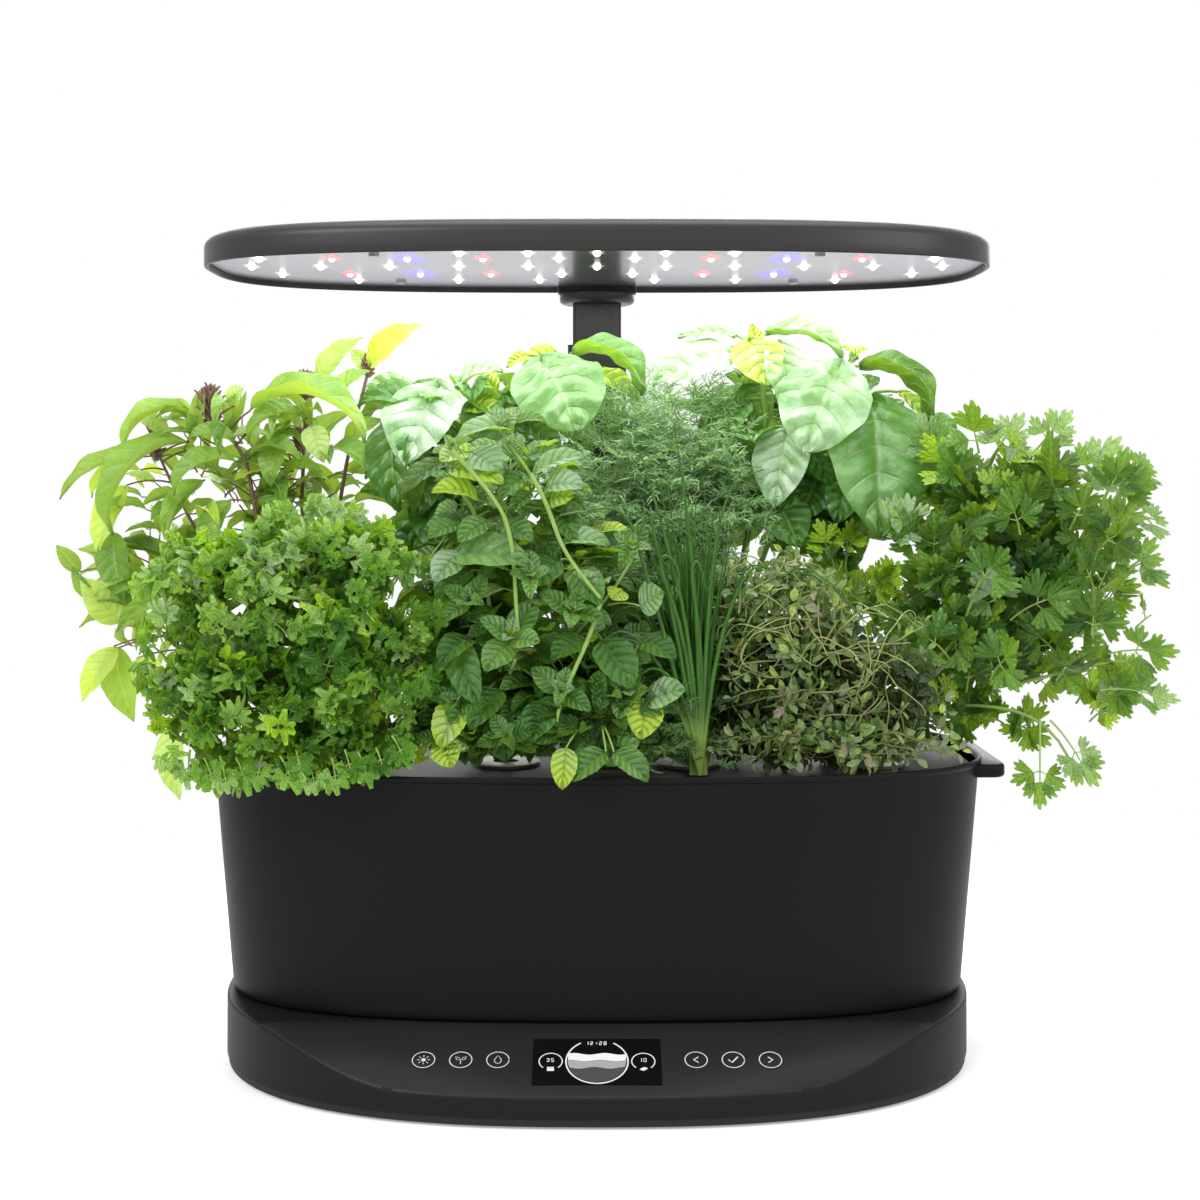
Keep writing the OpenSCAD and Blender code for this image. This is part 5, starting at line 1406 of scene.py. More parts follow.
def rosette(herb, shapes, centre, axis, size, tint, bright, turn):
    """Four crossed pairs of leaves round an axis, small and bright in the middle."""
    axis = Vector(axis).normalized()
    side = axis.orthogonal().normalized()
    other = axis.cross(side)
    for k in range(PAIRS):
        share = k / (PAIRS - 1)
        length = size * (1 - 0.68 * share) * herb.chance.uniform(0.9, 1.1)
        tilt = 0.25 + 0.95 * share
        for half in range(2):
            angle = turn + k * 1.75 + half * math.pi + herb.chance.uniform(-0.15, 0.15)
            out = (side * math.cos(angle) + other * math.sin(angle)) * math.cos(tilt) + axis * math.sin(tilt)
            base = centre + out * 1.0 - axis * (1 - share) * size * 0.22
            herb.leaf(herb.chance.choice(shapes), base, base + out * length, axis + out * 0.15, 1.0,
                      tint + (bright - tint) * share ** 1.5 + herb.chance.uniform(-0.06, 0.06))


# %% The mint plant
herb = Herb("mint", 1, 11)
joints = trunk(herb, (-50, -50, 190), [(568, 560, -78), (553, 510, -82), (531, 474, -80), (507, 443, -78),
                      (500, 428, -78)], 3.0, 1.8)
joints += trunk(herb, (-54, -48, 200), [(488, 560, -74), (473, 499, -76), (455, 490, -78), (452, 450, -78)], 2.8, 1.6)
joints += trunk(herb, (-44, -52, 200), [(600, 620, -76), (632, 560, -84)], 2.6, 1.6)
joints += trunk(herb, (-50, -56, 200), [(515, 660, -96)], 2.6, 1.8)
joints += trunk(herb, (-40, -60, 180), [(600, 720, -88), (622, 700, -92)], 2.4, 1.6)
place(herb, [
    (512, 434, 456, 443, -80, -92, 32, 0.56, (-0.1, -0.5, 1), 1),
    (507, 424, 486, 412, -76, -70, 20, 0.55, (0, -0.8, 0.7), 0),
    (516, 423, 547, 424, -78, -76, 18, 0.40, (0, -0.6, 0.9), 1),
    (502, 428, 520, 408, -74, -72, 18, 0.66, (0, -0.9, 0.5), 0),
    (533, 474, 586, 457, -80, -84, 30, 0.60, (0.1, -0.6, 0.9), 0),
    (529, 477, 500, 502, -82, -92, 26, 0.32, (-0.3, -0.8, 0.7), 1),
    (546, 488, 584, 488, -84, -92, 30, 0.66, (0, -0.8, 0.7), 1),
    (563, 545, 609, 547, -86, -96, 24, 0.58, (0, -0.7, 0.8), 1),
    (466, 453, 440, 462, -82, -90, 30, 0.95, (-0.2, -0.7, 0.8), 0),
    (470, 452, 500, 470, -82, -92, 40, 0.62, (0.1, -0.8, 0.8), 2),
    (531, 492, 511, 513, -84, -90, 18, 0.42, (-0.2, -0.8, 0.6), 0),
    (543, 498, 574, 497, -84, -92, 30, 0.95, (0.1, -0.9, 0.6), 2),
    (447, 462, 403, 496, -80, -92, 30, 0.12, (-0.4, -0.7, 0.7), 0),
    (451, 469, 504, 484, -80, -92, 36, 0.95, (0.1, -0.8, 0.8), 0),
    (477, 500, 431, 493, -82, -94, 28, 0.95, (-0.1, -0.8, 0.8), 1),
    (458, 525, 428, 539, -82, -92, 24, 0.34, (-0.3, -0.8, 0.6), 0),
    (488, 521, 458, 543, -84, -94, 26, 0.46, (-0.2, -0.9, 0.6), 0),
    (452, 556, 531, 565, -84, -100, 44, 0.46, (0, -0.8, 0.8), 0),
    (462, 552, 434, 582, -84, -98, 32, 0.66, (-0.2, -0.9, 0.6), 2),
    (455, 640, 478, 706, -84, -98, 32, 0.36, (-0.2, -0.9, 0.5), 0),
    (478, 700, 448, 722, -86, -98, 30, 0.40, (0, -0.9, 0.5), 2),
    (503, 524, 533, 541, -84, -92, 26, 0.50, (0.2, -0.9, 0.6), 0),
    (560, 512, 575, 544, -82, -92, 26, 0.30, (0.2, -0.9, 0.5), 0),
    (564, 540, 611, 547, -84, -94, 28, 0.44, (0.1, -0.7, 0.9), 0),
    (553, 520, 590, 512, -80, -86, 24, 0.55, (0.1, -0.7, 0.9), 1),
    (560, 560, 520, 590, -84, -98, 36, 0.30, (-0.2, -0.9, 0.6), 2),
    (572, 570, 600, 606, -84, -98, 34, 0.36, (0.2, -0.9, 0.6), 0),
    (470, 570, 436, 600, -80, -92, 32, 0.20, (-0.3, -0.8, 0.7), 0),
    (606, 752, 572, 782, -110, -116, 28, 0.34, (-0.2, -0.8, 0.8), 0),
    (614, 752, 648, 782, -110, -116, 28, 0.40, (0.2, -0.8, 0.8), 0),
    (640, 640, 676, 660, -84, -94, 30, 0.24, (0.3, -0.8, 0.6), 0),
    (585, 640, 552, 660, -84, -98, 32, 0.30, (-0.3, -0.8, 0.6), 0),
    (470, 640, 440, 668, -84, -96, 30, 0.26, (-0.3, -0.8, 0.6), 1),
    (548, 700, 530, 742, -88, -102, 32, 0.30, (-0.1, -0.9, 0.6), 2),
    (500, 690, 470, 730, -88, -102, 32, 0.22, (-0.2, -0.9, 0.6), 0),
    (602, 640, 632, 690, -88, -100, 38, 0.30, (0.1, -0.9, 0.5), 0),
    (646, 700, 686, 690, -90, -100, 34, 0.62, (0.1, -0.8, 0.7), 2),
    (648, 702, 640, 740, -90, -102, 34, 0.95, (0, -0.9, 0.5), 0),
    (600, 755, 640, 742, -92, -102, 34, 0.56, (0.1, -0.9, 0.5), 2),
    (566, 748, 562, 790, -109, -116, 24, 0.95, (0, -0.9, 0.4), 0),
    (500, 716, 505, 762, -90, -98, 34, 0.16, (0, -0.9, 0.4), 0),
    (444, 740, 452, 768, -90, -98, 30, 1.0, (-0.2, -0.9, 0.4), 0),
    (464, 704, 440, 748, -88, -96, 34, 0.95, (-0.2, -0.9, 0.4), 1),
    (570, 596, 598, 574, -86, -92, 30, 0.60, (0.1, -0.9, 0.5), 2),
    (640, 606, 664, 592, -88, -94, 34, 0.62, (0.1, -0.9, 0.6), 2),
    (622, 590, 612, 600, -88, -94, 22, 1.0, (0, -0.9, 0.6), 2),
], mint_shapes, joints, 1.2)
for route in ([(452, 450), (470, 470), (492, 492), (504, 516)],
              [(531, 474), (549, 505), (556, 540), (574, 566), (600, 598)],
              [(600, 604), (584, 660), (560, 690), (556, 726)], [(504, 516), (520, 560), (512, 600), (520, 640)]):
    herb.stem([sight(across, down, -97) for across, down in route], 2.6, 2.0)
for (across, down), depth, axis, size, tint, bright in (
        ((500, 425), -80, (-0.1, -0.6, 0.8), 10, 0.5, 0.8), ((453, 447), -82, (-0.2, -0.7, 0.7), 11, 0.6, 0.85),
        ((631, 548), -90, (0.2, -0.8, 0.7), 17, 0.40, 0.8), ((511, 636), -100, (0, -0.9, 0.6), 22, 0.42, 0.9),
        ((561, 690), -98, (0.1, -0.9, 0.5), 17, 0.40, 0.8), ((626, 690), -92, (0.1, -0.9, 0.6), 17, 0.44, 0.85),
        ((662, 704), -88, (0.4, -0.8, 0.5), 15, 0.38, 0.8), ((468, 600), -96, (-0.3, -0.9, 0.5), 17, 0.34, 0.7),
        ((572, 610), -98, (0.2, -0.9, 0.5), 18, 0.34, 0.72), ((530, 575), -98, (0, -0.8, 0.7), 16, 0.50, 0.85),
        ((456, 700), -94, (-0.3, -0.9, 0.5), 16, 0.30, 0.7), ((611, 756), -97, (0, -0.8, 0.7), 9, 0.55, 0.8),
        ((505, 735), -100, (-0.1, -0.9, 0.5), 15, 0.30, 0.7)):
    rosette(herb, mint_shapes, sight(across, down, depth), axis, size, tint, bright, herb.chance.uniform(0, 3))
fill(herb, [((-30, -62, 235), (54, 32, 66)), ((-42, -62, 290), (42, 30, 40)), ((-14, -66, 200), (58, 28, 40))], 330,
     mint_small,
     (13, 22), tints=(0.08, 0.50), inner=0.5, thick=1.1, droop=0.5)
# A layer of leaves deep inside, in dark tints: painted shade.
fill(herb, [((-26, -40, 230), (60, 16, 64)), ((-20, -46, 190), (64, 20, 28)), ((-70, -44, 246), (26, 20, 60))], 260,
     mint_small,
     (18, 28), tints=(0.0, 0.12), inner=0.1, thick=1.1, droop=0.5, sunny=0.02)
fill(herb, [((-52, -70, 180), (44, 24, 18)), ((34, -74, 176), (12, 20, 14))], 70, mint_small, (15, 22),
     tints=(0.0, 0.3), inner=0.2)
fill(herb, [((0, -95, 186), (34, 4, 20)), ((-56, -92, 174), (40, 6, 10)), ((30, -92, 174), (14, 6, 10))], 110,
     mint_small, (12, 18),
     tints=(0.0, 0.36), inner=0.1, stalk=0, front=0.9, wild=0.25)
herb.finish(leaves["mint"], stems["green"], "leaf_mint", 1)

# %% [markdown]
# ## Chives
# Chives are a tuft of hollow round blades from one spot. They rise steeply, then the long ones
# bend over and hang. Each is a tapered curve with a round section.

# %% Chives
herb = Herb("chives", 2, 21)
for _ in range(70):
    turn = herb.chance.uniform(0, math.tau)
    lean = herb.chance.random() ** 0.8
    start = herb.root + Vector((math.cos(turn), math.sin(turn), 0)) * herb.chance.uniform(0.5, 5) + Vector((4, -14, 0))
    tall = herb.chance.uniform(70, 150) * (1 - 0.25 * lean)
    way = Vector((math.cos(turn) * 0.9 + 0.15, math.sin(turn) * 0.35 - 0.12, 0))
    reach = tall * lean * 0.55
    top = start + way * reach + Vector((0, 0, tall))
    bend = start + way * reach * 0.35 + Vector((0, 0, tall * 0.55))
    points = [start, start.lerp(bend, 0.5) - way * reach * 0.05, bend,
              bend.lerp(top, 0.6) + Vector((0, 0, tall * 0.05)), top]
    if lean > 0.55:
        points.append(top + way * reach * 0.5 - Vector((0, 0, tall * herb.chance.uniform(0.05, 0.3))))
    if all(clear(point) for point in points[2:]):
        herb.stem(points, herb.chance.uniform(1.9, 3.0), 0.6)
CHIVE_FOOT = 700, 775
for route in ([CHIVE_FOOT, (668, 640), (640, 560), (631, 509), (604, 505), (579, 514)],
              [CHIVE_FOOT, (680, 640), (655, 540), (646, 500), (674, 523), (692, 538)],
              [CHIVE_FOOT, (700, 640), (690, 540), (682, 470), (676, 440)],
              [CHIVE_FOOT, (694, 650), (672, 560), (655, 500), (640, 452)],
              [CHIVE_FOOT, (706, 640), (712, 560), (722, 500), (742, 470)],
              [CHIVE_FOOT, (712, 660), (736, 590), (752, 560), (772, 570)],
              [CHIVE_FOOT, (690, 650), (668, 590), (656, 556), (672, 552), (684, 580), (676, 600)],
              [CHIVE_FOOT, (704, 660), (694, 600), (690, 560), (700, 556), (706, 590)],
              [CHIVE_FOOT, (676, 690), (646, 640), (620, 624), (604, 640)],
              [CHIVE_FOOT, (690, 700), (662, 660), (642, 668), (632, 690)]):
    herb.stem([sight(across, down, -86 - 8 * i / len(route)) for i, (across, down) in enumerate(route)], 2.8, 0.7)
for _ in range(34):
    foot, top = herb.chance.uniform(-9, 9), herb.chance.uniform(-46, 44)
    high, lean = herb.chance.uniform(470, 600), herb.chance.uniform(-84, -66)
    herb.stem([sight(CHIVE_FOOT[0] + foot, CHIVE_FOOT[1], -84), sight(698 + foot + top * 0.15, 690, lean),
               sight(696 + foot * 0.6 + top * 0.45, 620, lean),
               sight(694 + top, high, lean)], 2.3, 0.5)
# Small dark leaves low in the tuft stand for the shade between the blades: painted shade.
fill(herb, [((66, -22, 194), (38, 6, 34)), ((60, -20, 226), (26, 6, 26))], 230, mint_small, (12, 20),
     tints=(-0.1, 0.22), inner=0.1,
     stalk=0, sunny=0)
herb.finish(leaves["chives"], stems["chives"], "leaf_chives", 2)

# %% [markdown]
# ## Thyme
# Thyme is a tangle of wiry stems with pairs of tiny leaves along them. There are thousands of
# leaves, so each is a grid of only a few faces. A stem is a random walk that bends a little
# at each step, and a pair of leaves sits at each step.

# %% Thyme
thyme_shapes = leaf_family("thyme", 0.6, 4, 4, [(0.5, 0.56, 0.25, 0.5), (0.5, 0.46, 0.4, 0.9)], 40)
herb = Herb("thyme", 3, 31)
thyme_clumps = [((118, -60, 196), (62, 30, 36)), ((110, -62, 222), (54, 28, 34)), ((128, -58, 180), (62, 30, 18)),
                ((94, -62, 236), (38, 24, 28)), ((88, -64, 190), (36, 24, 34)), ((118, -84, 174), (62, 10, 10))]


WALK_STEP, QUARTER = 6.2, 1.57


def walk_stem(herb, point, heading, centre, radii, steps, bend, thick, leafy=True):
    """A wiry stem that wanders inside a clump, with a pair of leaves at each step."""
    walk, turn, drift = [point.copy()], herb.chance.uniform(0, 3), herb.spread(bend * 0.3)
    for step in range(steps):
        heading = (heading + herb.spread(bend) + drift).normalized()
        following = point + heading * WALK_STEP
        offset = Vector([(f - c) / r for f, c, r in zip(following, centre, radii)])
        if offset.length > 1.12:
            heading = (heading - offset * 0.6).normalized()
            following = point + heading * WALK_STEP
        if not clear(following) or following.z < OVER_DECK:
            break
        point = following
        walk.append(point.copy())
        turn += QUARTER
        side = heading.orthogonal().normalized()
        other = heading.cross(side)
        for half in range(2 if leafy else 0):
            angle = turn + half * math.pi
            out = (side * math.cos(angle) + other * math.sin(angle) + heading * 0.5).normalized()
            size = herb.chance.uniform(6, 11) * (1 - 0.03 * step)
            # Leaves near the clump's outside are lighter and inner ones darker, painted light and shade, and about one
            # in seven is a painted sunlit leaf.
            tint = herb.chance.uniform(0.15, 0.52) + 0.3 * (offset.length - 0.75)
            tint += 0.25 * (herb.chance.random() < 0.05)
            herb.leaf(herb.chance.choice(thyme_shapes), point + out, point + out * size,
                      heading + Vector((0, -0.4, 0.6)), 1.0,
                      0.95 if herb.chance.random() < 0.14 else tint)
    if len(walk) > 2:
        herb.stem(walk, thick, thick * 0.6)


for _ in range(140):
    centre, radii = herb.chance.choice(thyme_clumps)
    start = Vector([c + herb.chance.uniform(-0.3, 0.3) * r for c, r in zip(centre, radii)])
    heading = (herb.spread() + Vector((0, -0.2, 0.25))).normalized()
    walk_stem(herb, start, heading, centre, radii, herb.chance.randint(8, 14), 0.42, 1.1)
for _ in range(46):
    centre, radii = herb.chance.choice(thyme_clumps[:4])
    start = Vector(centre) + Vector((herb.chance.uniform(-0.8, 0.8) * radii[0], -radii[1] * 0.8,
                                     herb.chance.uniform(-0.8, 0.8) * radii[2]))
    walk_stem(herb, start, herb.spread().normalized(), centre, radii, 9, 0.8, 1.0, False)
# A cloud of dark leaves inside the clump: painted shade.
for k in range(1500):
    point = Vector((112, -58, 194)) + Vector([way * reach for way, reach in zip(herb.spread(), (66, 22, 40))])
    if clear(point) and point.z > 164:
        herb.leaf(thyme_shapes[k % 2], point, point + herb.spread().normalized() * 10,
                  herb.spread() + Vector((0, -0.5, 1)), 1.1,
                  herb.chance.uniform(-0.2, 0.1))
for centre, _ in thyme_clumps[:5]:
    for _ in range(5):
        end = Vector(centre) + herb.spread(16)
        herb.stem([herb.root + herb.spread(2), herb.root.lerp(end, 0.5) + herb.spread(8), end], 1.6, 1.1)
herb.finish(leaves["thyme"], stems["thyme"], "leaf_thyme", 0)

# %% [markdown]
# ## Dill
# Dill has no blades at all: each leaf is a spray of threads, split again and again. Every thread is
# a narrow ribbon along a curve, so thousands of them stay light.

# %% Dill
herb = Herb("dill", 6, 61)


def frond(herb, base, way, length, level=2, thick=1.0):
    """A spray of threads on both sides of a rib; at level 0 it is one bare thread."""
    way = way.normalized()
    tip = base + (way + herb.spread(0.25) - Vector((0, 0, 0.10))).normalized() * length
    middle = base + way * length * 0.5
    if not (clear(tip) and clear(middle)):
        return
    if level == 0:
        herb.stem([base, middle, tip], 0.72 * thick, 0.30 * thick, flat=True)
        return
    herb.stem([base, middle, tip], 0.85, 0.45, flat=True)
    side = way.cross(Vector((0, -0.6, 1)).normalized() + herb.spread(0.4)).normalized()
    count = 5 if level == 2 else 4
    for k in range(count):
        share = (k + 0.8) / count
        start = base.lerp(middle, share * 2) if share < 0.5 else middle.lerp(tip, min(1, share * 2 - 1))
        for sign in (-1, 1):
            out = side * sign * (1.0 - 0.5 * share) + way * 0.75 + herb.spread(0.45)
            frond(herb, start, out, length * (0.62 - 0.22 * share) * herb.chance.uniform(0.75, 1.2), level - 1, thick)


joints = trunk(herb, (4, 42, 205), [(642, 540, 36), (642, 430, 36), (630, 392, 36)], 3.0, 1.4)
joints += trunk(herb, (8, 46, 200), [(690, 520, 38), (692, 430, 38), (712, 396, 38)], 3.0, 1.4)
joints += trunk(herb, (2, 40, 200), [(610, 540, 30), (604, 450, 30)], 2.6, 1.3)
joints += trunk(herb, (8, 44, 200), [(720, 540, 34), (742, 450, 34)], 2.6, 1.3)
# Some clumps get wider threads to fill the inside, and the finish darkens them towards the deck: painted shade.
for centre, radii, count, thick in (
        ((12, 30, 312), (32, 28, 46), 74, 1), ((50, 32, 318), (36, 28, 44), 84, 1),
        ((72, 30, 296), (24, 24, 34), 34, 1),
        ((30, 22, 276), (56, 28, 40), 70, 1), ((34, 34, 286), (50, 22, 40), 40, 1.8),
        ((40, 26, 236), (58, 22, 40), 80, 2.6),
        ((34, 8, 226), (50, 26, 46), 60, 1), ((40, -10, 190), (50, 22, 26), 60, 1.8),
        ((38, -66, 176), (18, 22, 14), 26, 1.3)):
    for k in range(count):
        way = herb.spread().normalized()
        point = Vector([c + w * r * herb.chance.uniform(0.1, 0.75) for c, w, r in zip(centre, way, radii)])
        frond(herb, point, Vector((way.x, way.y - 0.3, way.z * 0.7 + 0.25)) + herb.spread(0.4),
              herb.chance.uniform(18, 28), 2, thick)
        near = min(joints, key=lambda spot: (spot - point).length)
        if k % 3 == 0:
            herb.stem([near, near.lerp(point, 0.5) + herb.spread(3), point], 1.2, 0.7)
herb.finish(leaves["dill"], stems["dill"], "leaf_dill", 0)

# %% [markdown]
# ## Flat parsley and curly parsley
# Both have leaves cut into three, and again into lobes. A leaflet is a grid opened like a fan, with
# lobes pulled out of its edge. The flat kind keeps it nearly plane; in the curly kind the edge is
# longer than the fan can hold, so it ruffles.

# %% Leaves cut into three
flat_shapes = [
    fan_shape("parsley_%d" % i, lobes, 3, 3, 4, depth, 0.20, 0.03, cup, 1.35, seed=50 + i)
    for i, (lobes, depth, cup) in enumerate([((0.85, 1.0, 0.85), 0.50, 0.25), ((0.9, 1.0, 0.8), 0.44, 0.45),
                                             ((0.8, 1.0, 0.9), 0.54, 0.10)])]


def triple(herb, shapes, base, tip, face, size, tint):
    """A leaf of three leaflets on a stalk from base to tip."""
    way = (tip - base).normalized()
    face = Vector(face).normalized()
    side = way.cross(face).normalized()
    herb.stem([base, base.lerp(tip, 0.5) + Vector((0, 0, (tip - base).length * 0.12)), tip], 1.32, 0.77)
    for lean, back, scale in ((0.0, 0.0, 1.0), (-1.1, 0.3, 0.85), (1.1, 0.3, 0.85)):
        out = way * math.cos(lean) + side * math.sin(lean) + herb.spread(0.12)
        root = tip - way * size * back
        start = root + out * size * (0.22 if lean else 0.05)
        end = start + out.normalized() * size * scale * herb.chance.uniform(0.9, 1.1)
        if clear(end) and clear(start):
            herb.stem([root, start], 0.77, 0.66)
            herb.leaf(herb.chance.choice(shapes), start, end, face + herb.spread(0.3), 1.0,
                      tint + herb.chance.uniform(-0.08, 0.08))


def triples(herb, shapes, rows):
    """Places triple leaves listed as base, tip, their depths, size, tint and facing."""
    for bx, by, tx, ty, near, far, size, tint, face in rows:
        triple(herb, shapes, sight(bx, by, near), sight(tx, ty, far), face, size, tint)


def crown(herb, shapes, clumps, count, sizes, tints, inner=0.5, stalk=14, sunny=0.07):
    """Triple leaves all over clumps, their stalks gathered towards the pod."""
    def grow(tip, way, part, rise):
        out = (Vector((way.x, way.y, way.z * 0.5)) + herb.spread(0.35)).normalized()
        base = tip - out * stalk * 0.7 - Vector((0, 0, stalk * 0.6))
        if not (clear(tip) and clear(base)):
            return False
        # Leaves deep inside the clump are darker and upturned ones lighter: painted shade and painted light.
        tint = herb.tint(sunny, tints, (part - 0.8) * 0.35 + way.z * 0.08)
        face = way * 0.6 + Vector((0, -0.5, 0.6)) + herb.spread(0.35)
        triple(herb, shapes, base, tip, face, herb.chance.uniform(*sizes), tint)
        return True

    scatter(herb, clumps, count, inner, grow)


# %% The flat parsley plant
herb = Herb("flat_parsley", 8, 81)
for start, *spots in ([(166, 30, 210), (960, 560, 20), (985, 470, 16), (1004, 438, 14)],
                       [(170, 28, 205), (1000, 600, 8), (1060, 500, 4), (1110, 470, 2)],
                       [(176, 26, 195), (1040, 640, 0), (1100, 590, -4), (1140, 560, -6)],
                       [(176, 20, 185), (1030, 690, -10), (1090, 660, -16), (1140, 660, -20)],
                       [(172, 18, 180), (1000, 700, -24), (1050, 720, -34), (1070, 760, -36)],
                       [(164, 26, 200), (930, 620, 0), (920, 540, -4), (912, 520, -6)],
                       [(168, 24, 190), (960, 660, -20), (970, 600, -30), (980, 580, -34)]):
    trunk(herb, start, spots, 2.6, 1.4)
triples(herb, flat_shapes, [
    (985, 470, 1004, 440, 16, 10, 18, 0.66, (0.1, -0.8, 0.7)),
    (1060, 500, 1096, 466, 4, -4, 18, 0.62, (0.2, -0.8, 0.7)),
    (1100, 480, 1150, 470, 2, -6, 18, 0.60, (0.4, -0.6, 0.8)),
    (1100, 590, 1150, 560, -4, -12, 18, 0.40, (0.4, -0.7, 0.7)),
    (1110, 520, 1158, 520, 0, -8, 17, 0.64, (0.4, -0.7, 0.7)),
    (1090, 660, 1146, 650, -16, -24, 18, 0.44, (0.4, -0.7, 0.7)),
    (1100, 690, 1150, 694, -20, -26, 16, 0.66, (0.5, -0.7, 0.6)),
    (1050, 720, 1080, 760, -34, -40, 16, 0.62, (0.3, -0.9, 0.4)),
    (1040, 720, 1040, 780, -36, -44, 16, 0.46, (0.2, -0.9, 0.4)),
    (920, 540, 906, 522, -4, -14, 18, 0.72, (-0.2, -0.8, 0.7)),
    (930, 560, 965, 530, -6, -16, 18, 0.44, (0.2, -0.9, 0.5)),
    (1000, 540, 1020, 500, 4, -6, 19, 0.50, (0.1, -0.9, 0.5)),
    (970, 600, 990, 570, -30, -44, 18, 0.38, (0, -0.9, 0.5)),
    (1010, 620, 1046, 600, -20, -30, 18, 0.46, (0.3, -0.8, 0.6)),
    (950, 660, 930, 640, -30, -44, 17, 0.34, (-0.3, -0.9, 0.5)),
    (990, 680, 1004, 660, -30, -46, 18, 0.40, (0, -0.9, 0.6)),
    (940, 470, 930, 440, 14, 6, 16, 0.58, (-0.1, -0.8, 0.7)),
    (1030, 460, 1052, 432, 10, 4, 16, 0.66, (0.2, -0.7, 0.7)),
    (1080, 560, 1084, 530, -8, -18, 18, 0.40, (0.2, -0.9, 0.5)),
])
crown(herb, flat_shapes, [((232, 4, 240), (58, 44, 40)), ((250, 0, 290), (54, 44, 42)), ((220, 8, 310), (42, 36, 34))],
      66,
      (14, 20), (0.10, 0.62))
crown(herb, flat_shapes, [((240, 0, 200), (62, 44, 34)), ((272, -6, 230), (40, 40, 40))], 40, (13, 19), (0.12, 0.66))
crown(herb, flat_shapes, [((190, 0, 240), (32, 34, 60)), ((196, 4, 200), (36, 34, 36))], 44, (12, 18), (0.05, 0.50))
# Leaves deep inside, in dark tints: painted shade.
crown(herb, flat_shapes, [((226, 8, 240), (44, 34, 60)), ((240, 10, 280), (34, 30, 34))], 70, (14, 18), (-0.05, 0.10),
      inner=0.1,
      sunny=0)
crown(herb, flat_shapes, [((140, 24, 246), (34, 18, 30))], 24, (11, 15), (0.10, 0.40), sunny=0.5)
herb.finish(leaves["parsley"], stems["green"], "leaf_parsley", 1)

# %% Curly parsley
curly_shapes = [
    fan_shape("curly_%d" % i, lobes, 1, 3, 3, depth, 0.0, frill, cup, spread, seed=60 + i)
    for i, (lobes, depth, frill, cup, spread) in enumerate([
        ((0.85, 0.95, 1.0, 0.95, 0.85), 0.34, 0.34, 0.4, 1.9), ((0.8, 1.0, 0.95, 0.85, 0.9), 0.38, 0.40, 0.8, 1.8),
        ((0.9, 0.85, 1.0, 0.9, 0.8), 0.32, 0.46, 0.1, 2.1), ((0.9, 0.8, 1.0, 0.85, 0.9), 0.36, 0.30, -0.5, 2.0)])]
herb = Herb("curly_parsley", 0, 1)
for route in ([(-150, -60, 190), (-176, -70, 230), (-184, -74, 262)],
              [(-148, -58, 190), (-150, -74, 240), (-146, -80, 276)],
              [(-146, -58, 185), (-124, -76, 230), (-112, -80, 262)],
              [(-154, -58, 180), (-190, -70, 200), (-212, -74, 222)],
              [(-150, -60, 180), (-156, -84, 200), (-158, -92, 220)],
              [(-144, -58, 180), (-118, -80, 196), (-100, -86, 208)]):
    herb.stem([herb.root, *route], 2.6, 1.6)
crown(herb, curly_shapes, [((-172, -74, 236), (56, 34, 46)), ((-128, -76, 240), (50, 32, 46))], 230, (6, 10),
      (0.14, 0.60), 0.6, sunny=0.12)
crown(herb, curly_shapes, [((-168, -80, 192), (58, 32, 32)), ((-118, -80, 196), (42, 30, 36))], 190, (6, 10),
      (0.08, 0.56), 0.6, sunny=0.08)
crown(herb, curly_shapes, [((-214, -68, 230), (26, 30, 50))], 60, (6, 10), (0.30, 0.66), 0.5, sunny=0.3)
crown(herb, curly_shapes, [((-150, -72, 282), (34, 26, 14)), ((-180, -74, 268), (34, 26, 12))], 44, (7, 10),
      (0.42, 0.72), 0.5)
# Leaves deep inside, in dark tints: painted shade.
crown(herb, curly_shapes, [((-150, -72, 220), (60, 30, 60))], 60, (10, 14), (-0.05, 0.10), 0.2, sunny=0)
crown(herb, curly_shapes, [((-150, -88, 172), (62, 8, 10))], 30, (8, 11), (0.0, 0.36), 0.2, stalk=6, sunny=0.02)
triples(herb, curly_shapes, [
    (204, 758, 212, 778, -100, -108, 9, 0.44, (0, -1, 0.3)),
    (236, 758, 244, 776, -102, -110, 9, 0.36, (0.1, -1, 0.3)),
    (332, 758, 336, 780, -104, -112, 9, 0.46, (0, -1, 0.3)),
    (178, 746, 168, 762, -96, -104, 9, 0.50, (-0.4, -1, 0.3)),
    (392, 736, 402, 754, -102, -108, 8, 0.30, (0.2, -1, 0.3)),
    (280, 756, 290, 776, -104, -112, 9, 0.38, (0, -1, 0.4)),
    (220, 756, 226, 782, -102, -112, 8, 0.56, (0, -1, 0.3)),
    (262, 756, 258, 776, -102, -110, 8, 0.42, (-0.1, -1, 0.3)),
    (308, 756, 314, 782, -104, -112, 8, 0.52, (0.1, -1, 0.3)),
    (358, 752, 366, 772, -104, -110, 8, 0.34, (0.1, -1, 0.3)),
    (190, 750, 188, 772, -98, -106, 8, 0.60, (-0.2, -1, 0.3)),
    (376, 748, 382, 764, -104, -108, 8, 0.22, (0.2, -1, 0.3)),
    (345, 750, 350, 768, -104, -110, 8, 0.28, (0, -1, 0.3)),
    (296, 750, 300, 768, -104, -110, 8, 0.24, (0, -1, 0.3)),
])
herb.finish(leaves["curly"], stems["green"], "leaf_curly", 0)

# %% [markdown]
# ## Floor, world and lamps
# The garden stands on a pale sweep under soft studio light. The background shows white because
# the world and the floor give a strength of 1 to rays that come from the camera or bounce off
# gloss, so that it isn't the lamps that make it white. The floor still takes the shadow.

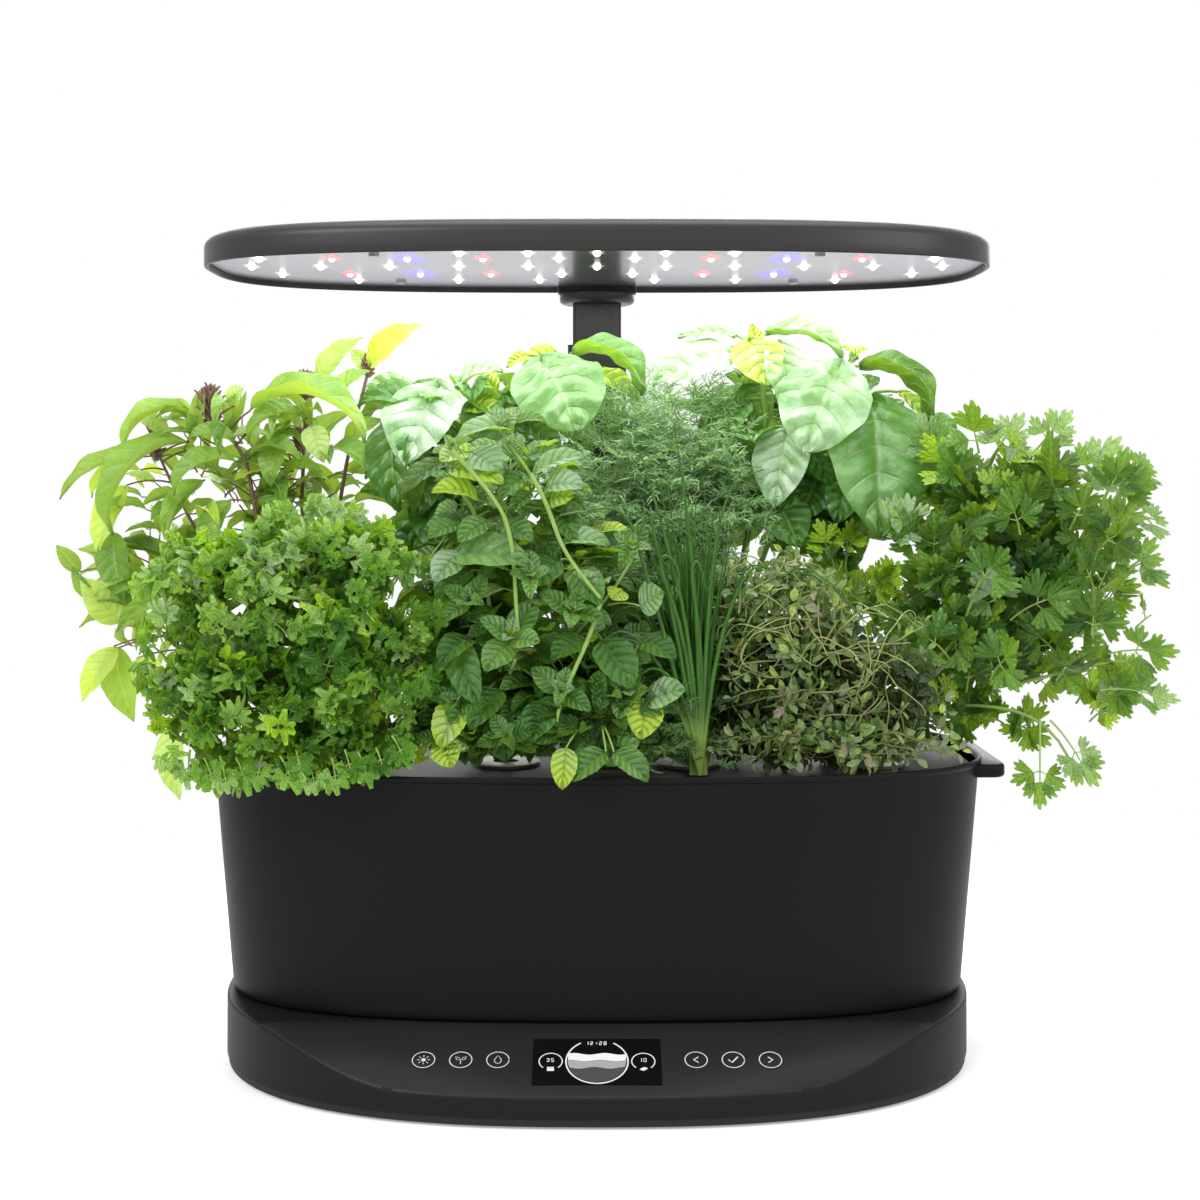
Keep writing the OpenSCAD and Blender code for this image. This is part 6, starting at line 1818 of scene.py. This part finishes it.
# %% The floor
bm = bmesh.new()
bmesh.ops.create_circle(bm, cap_ends=True, segments=96, radius=6)
floor_mesh = mesh_of(bm, "floor")
floor = bpy.data.objects.new("floor", floor_mesh)
scene.collection.objects.link(floor)

finish = Finish("floor_white", Roughness=0.9, Specular_IOR_Level=0.0)
finish.skin(tone(232, 232, 232))
finish.set("Emission Color", (1, 1, 1, 1))
x, y, _ = finish.axes(finish.place())
far = (((x * 0.8) ** 2 + (y * 1.15) ** 2) ** 0.5).steps(0.34, 0.62)
lift, plain = (finish.node("ShaderNodeEmission", inputs={"Color": (1, 1, 1, 1), "Strength": strength})
               for strength in (0.30, 1.0))
near = finish.node("ShaderNodeAddShader", inputs={0: finish.shaded, 1: lift})
view = finish.mixed(far, near, plain)
finish.set("Surface", finish.mixed(finish.seen(), finish.shaded, view), finish.output)
floor_mesh.materials.append(finish.material)

# %% The world
scene.world = bpy.data.worlds.new("studio")
sky = Finish("studio", scene.world, Color=(1, 1, 1, 1), Strength=0.75)
white = sky.node("ShaderNodeBackground", inputs={"Color": (1, 1, 1, 1)})
sky.set("Surface", sky.mixed(sky.seen(), sky.shaded, white), sky.output)
print("floor and world ready")

# %% [markdown]
# Five soft lamps: a broad one high at the front left, a weaker one at the right, one above, and a
# large one behind that shines through the leaves. Leaves lit from behind glow yellow-green, which
# is what makes herbs look fresh. The last stands in for the light that the hood throws down.

# %% The lamps


def soft_lamp(name, place, target, size, watts):
    lamp = bpy.data.lights.new(name, "AREA")
    lamp.shape, lamp.size, lamp.size_y, lamp.energy = "RECTANGLE", size[0], size[1], watts
    holder = bpy.data.objects.new(name, lamp)
    holder.visible_camera = False
    scene.collection.objects.link(holder)
    holder.location = place
    aim = (Vector(target) - Vector(place)).to_track_quat("-Z", "Y")
    holder.rotation_euler = aim.to_euler()


soft_lamp("key", (-1.1, -1.5, 1.5), (0, 0, 0.2), (1.0, 1.0), 26)
soft_lamp("fill", (1.4, -1.2, 0.9), (0, 0, 0.2), (1.0, 1.2), 12)
soft_lamp("top", (0, 0.1, 2.0), (0, 0, 0.2), (1.4, 1.0), 16)
soft_lamp("behind", (0.1, 1.6, 0.9), (0, 0, 0.28), (2.2, 1.2), 34)
soft_lamp("grow", (0, 0.0, 0.418), (0, 0.0, 0.0), (0.36, 0.15), 0.8)
scene.view_settings.view_transform = "Standard"
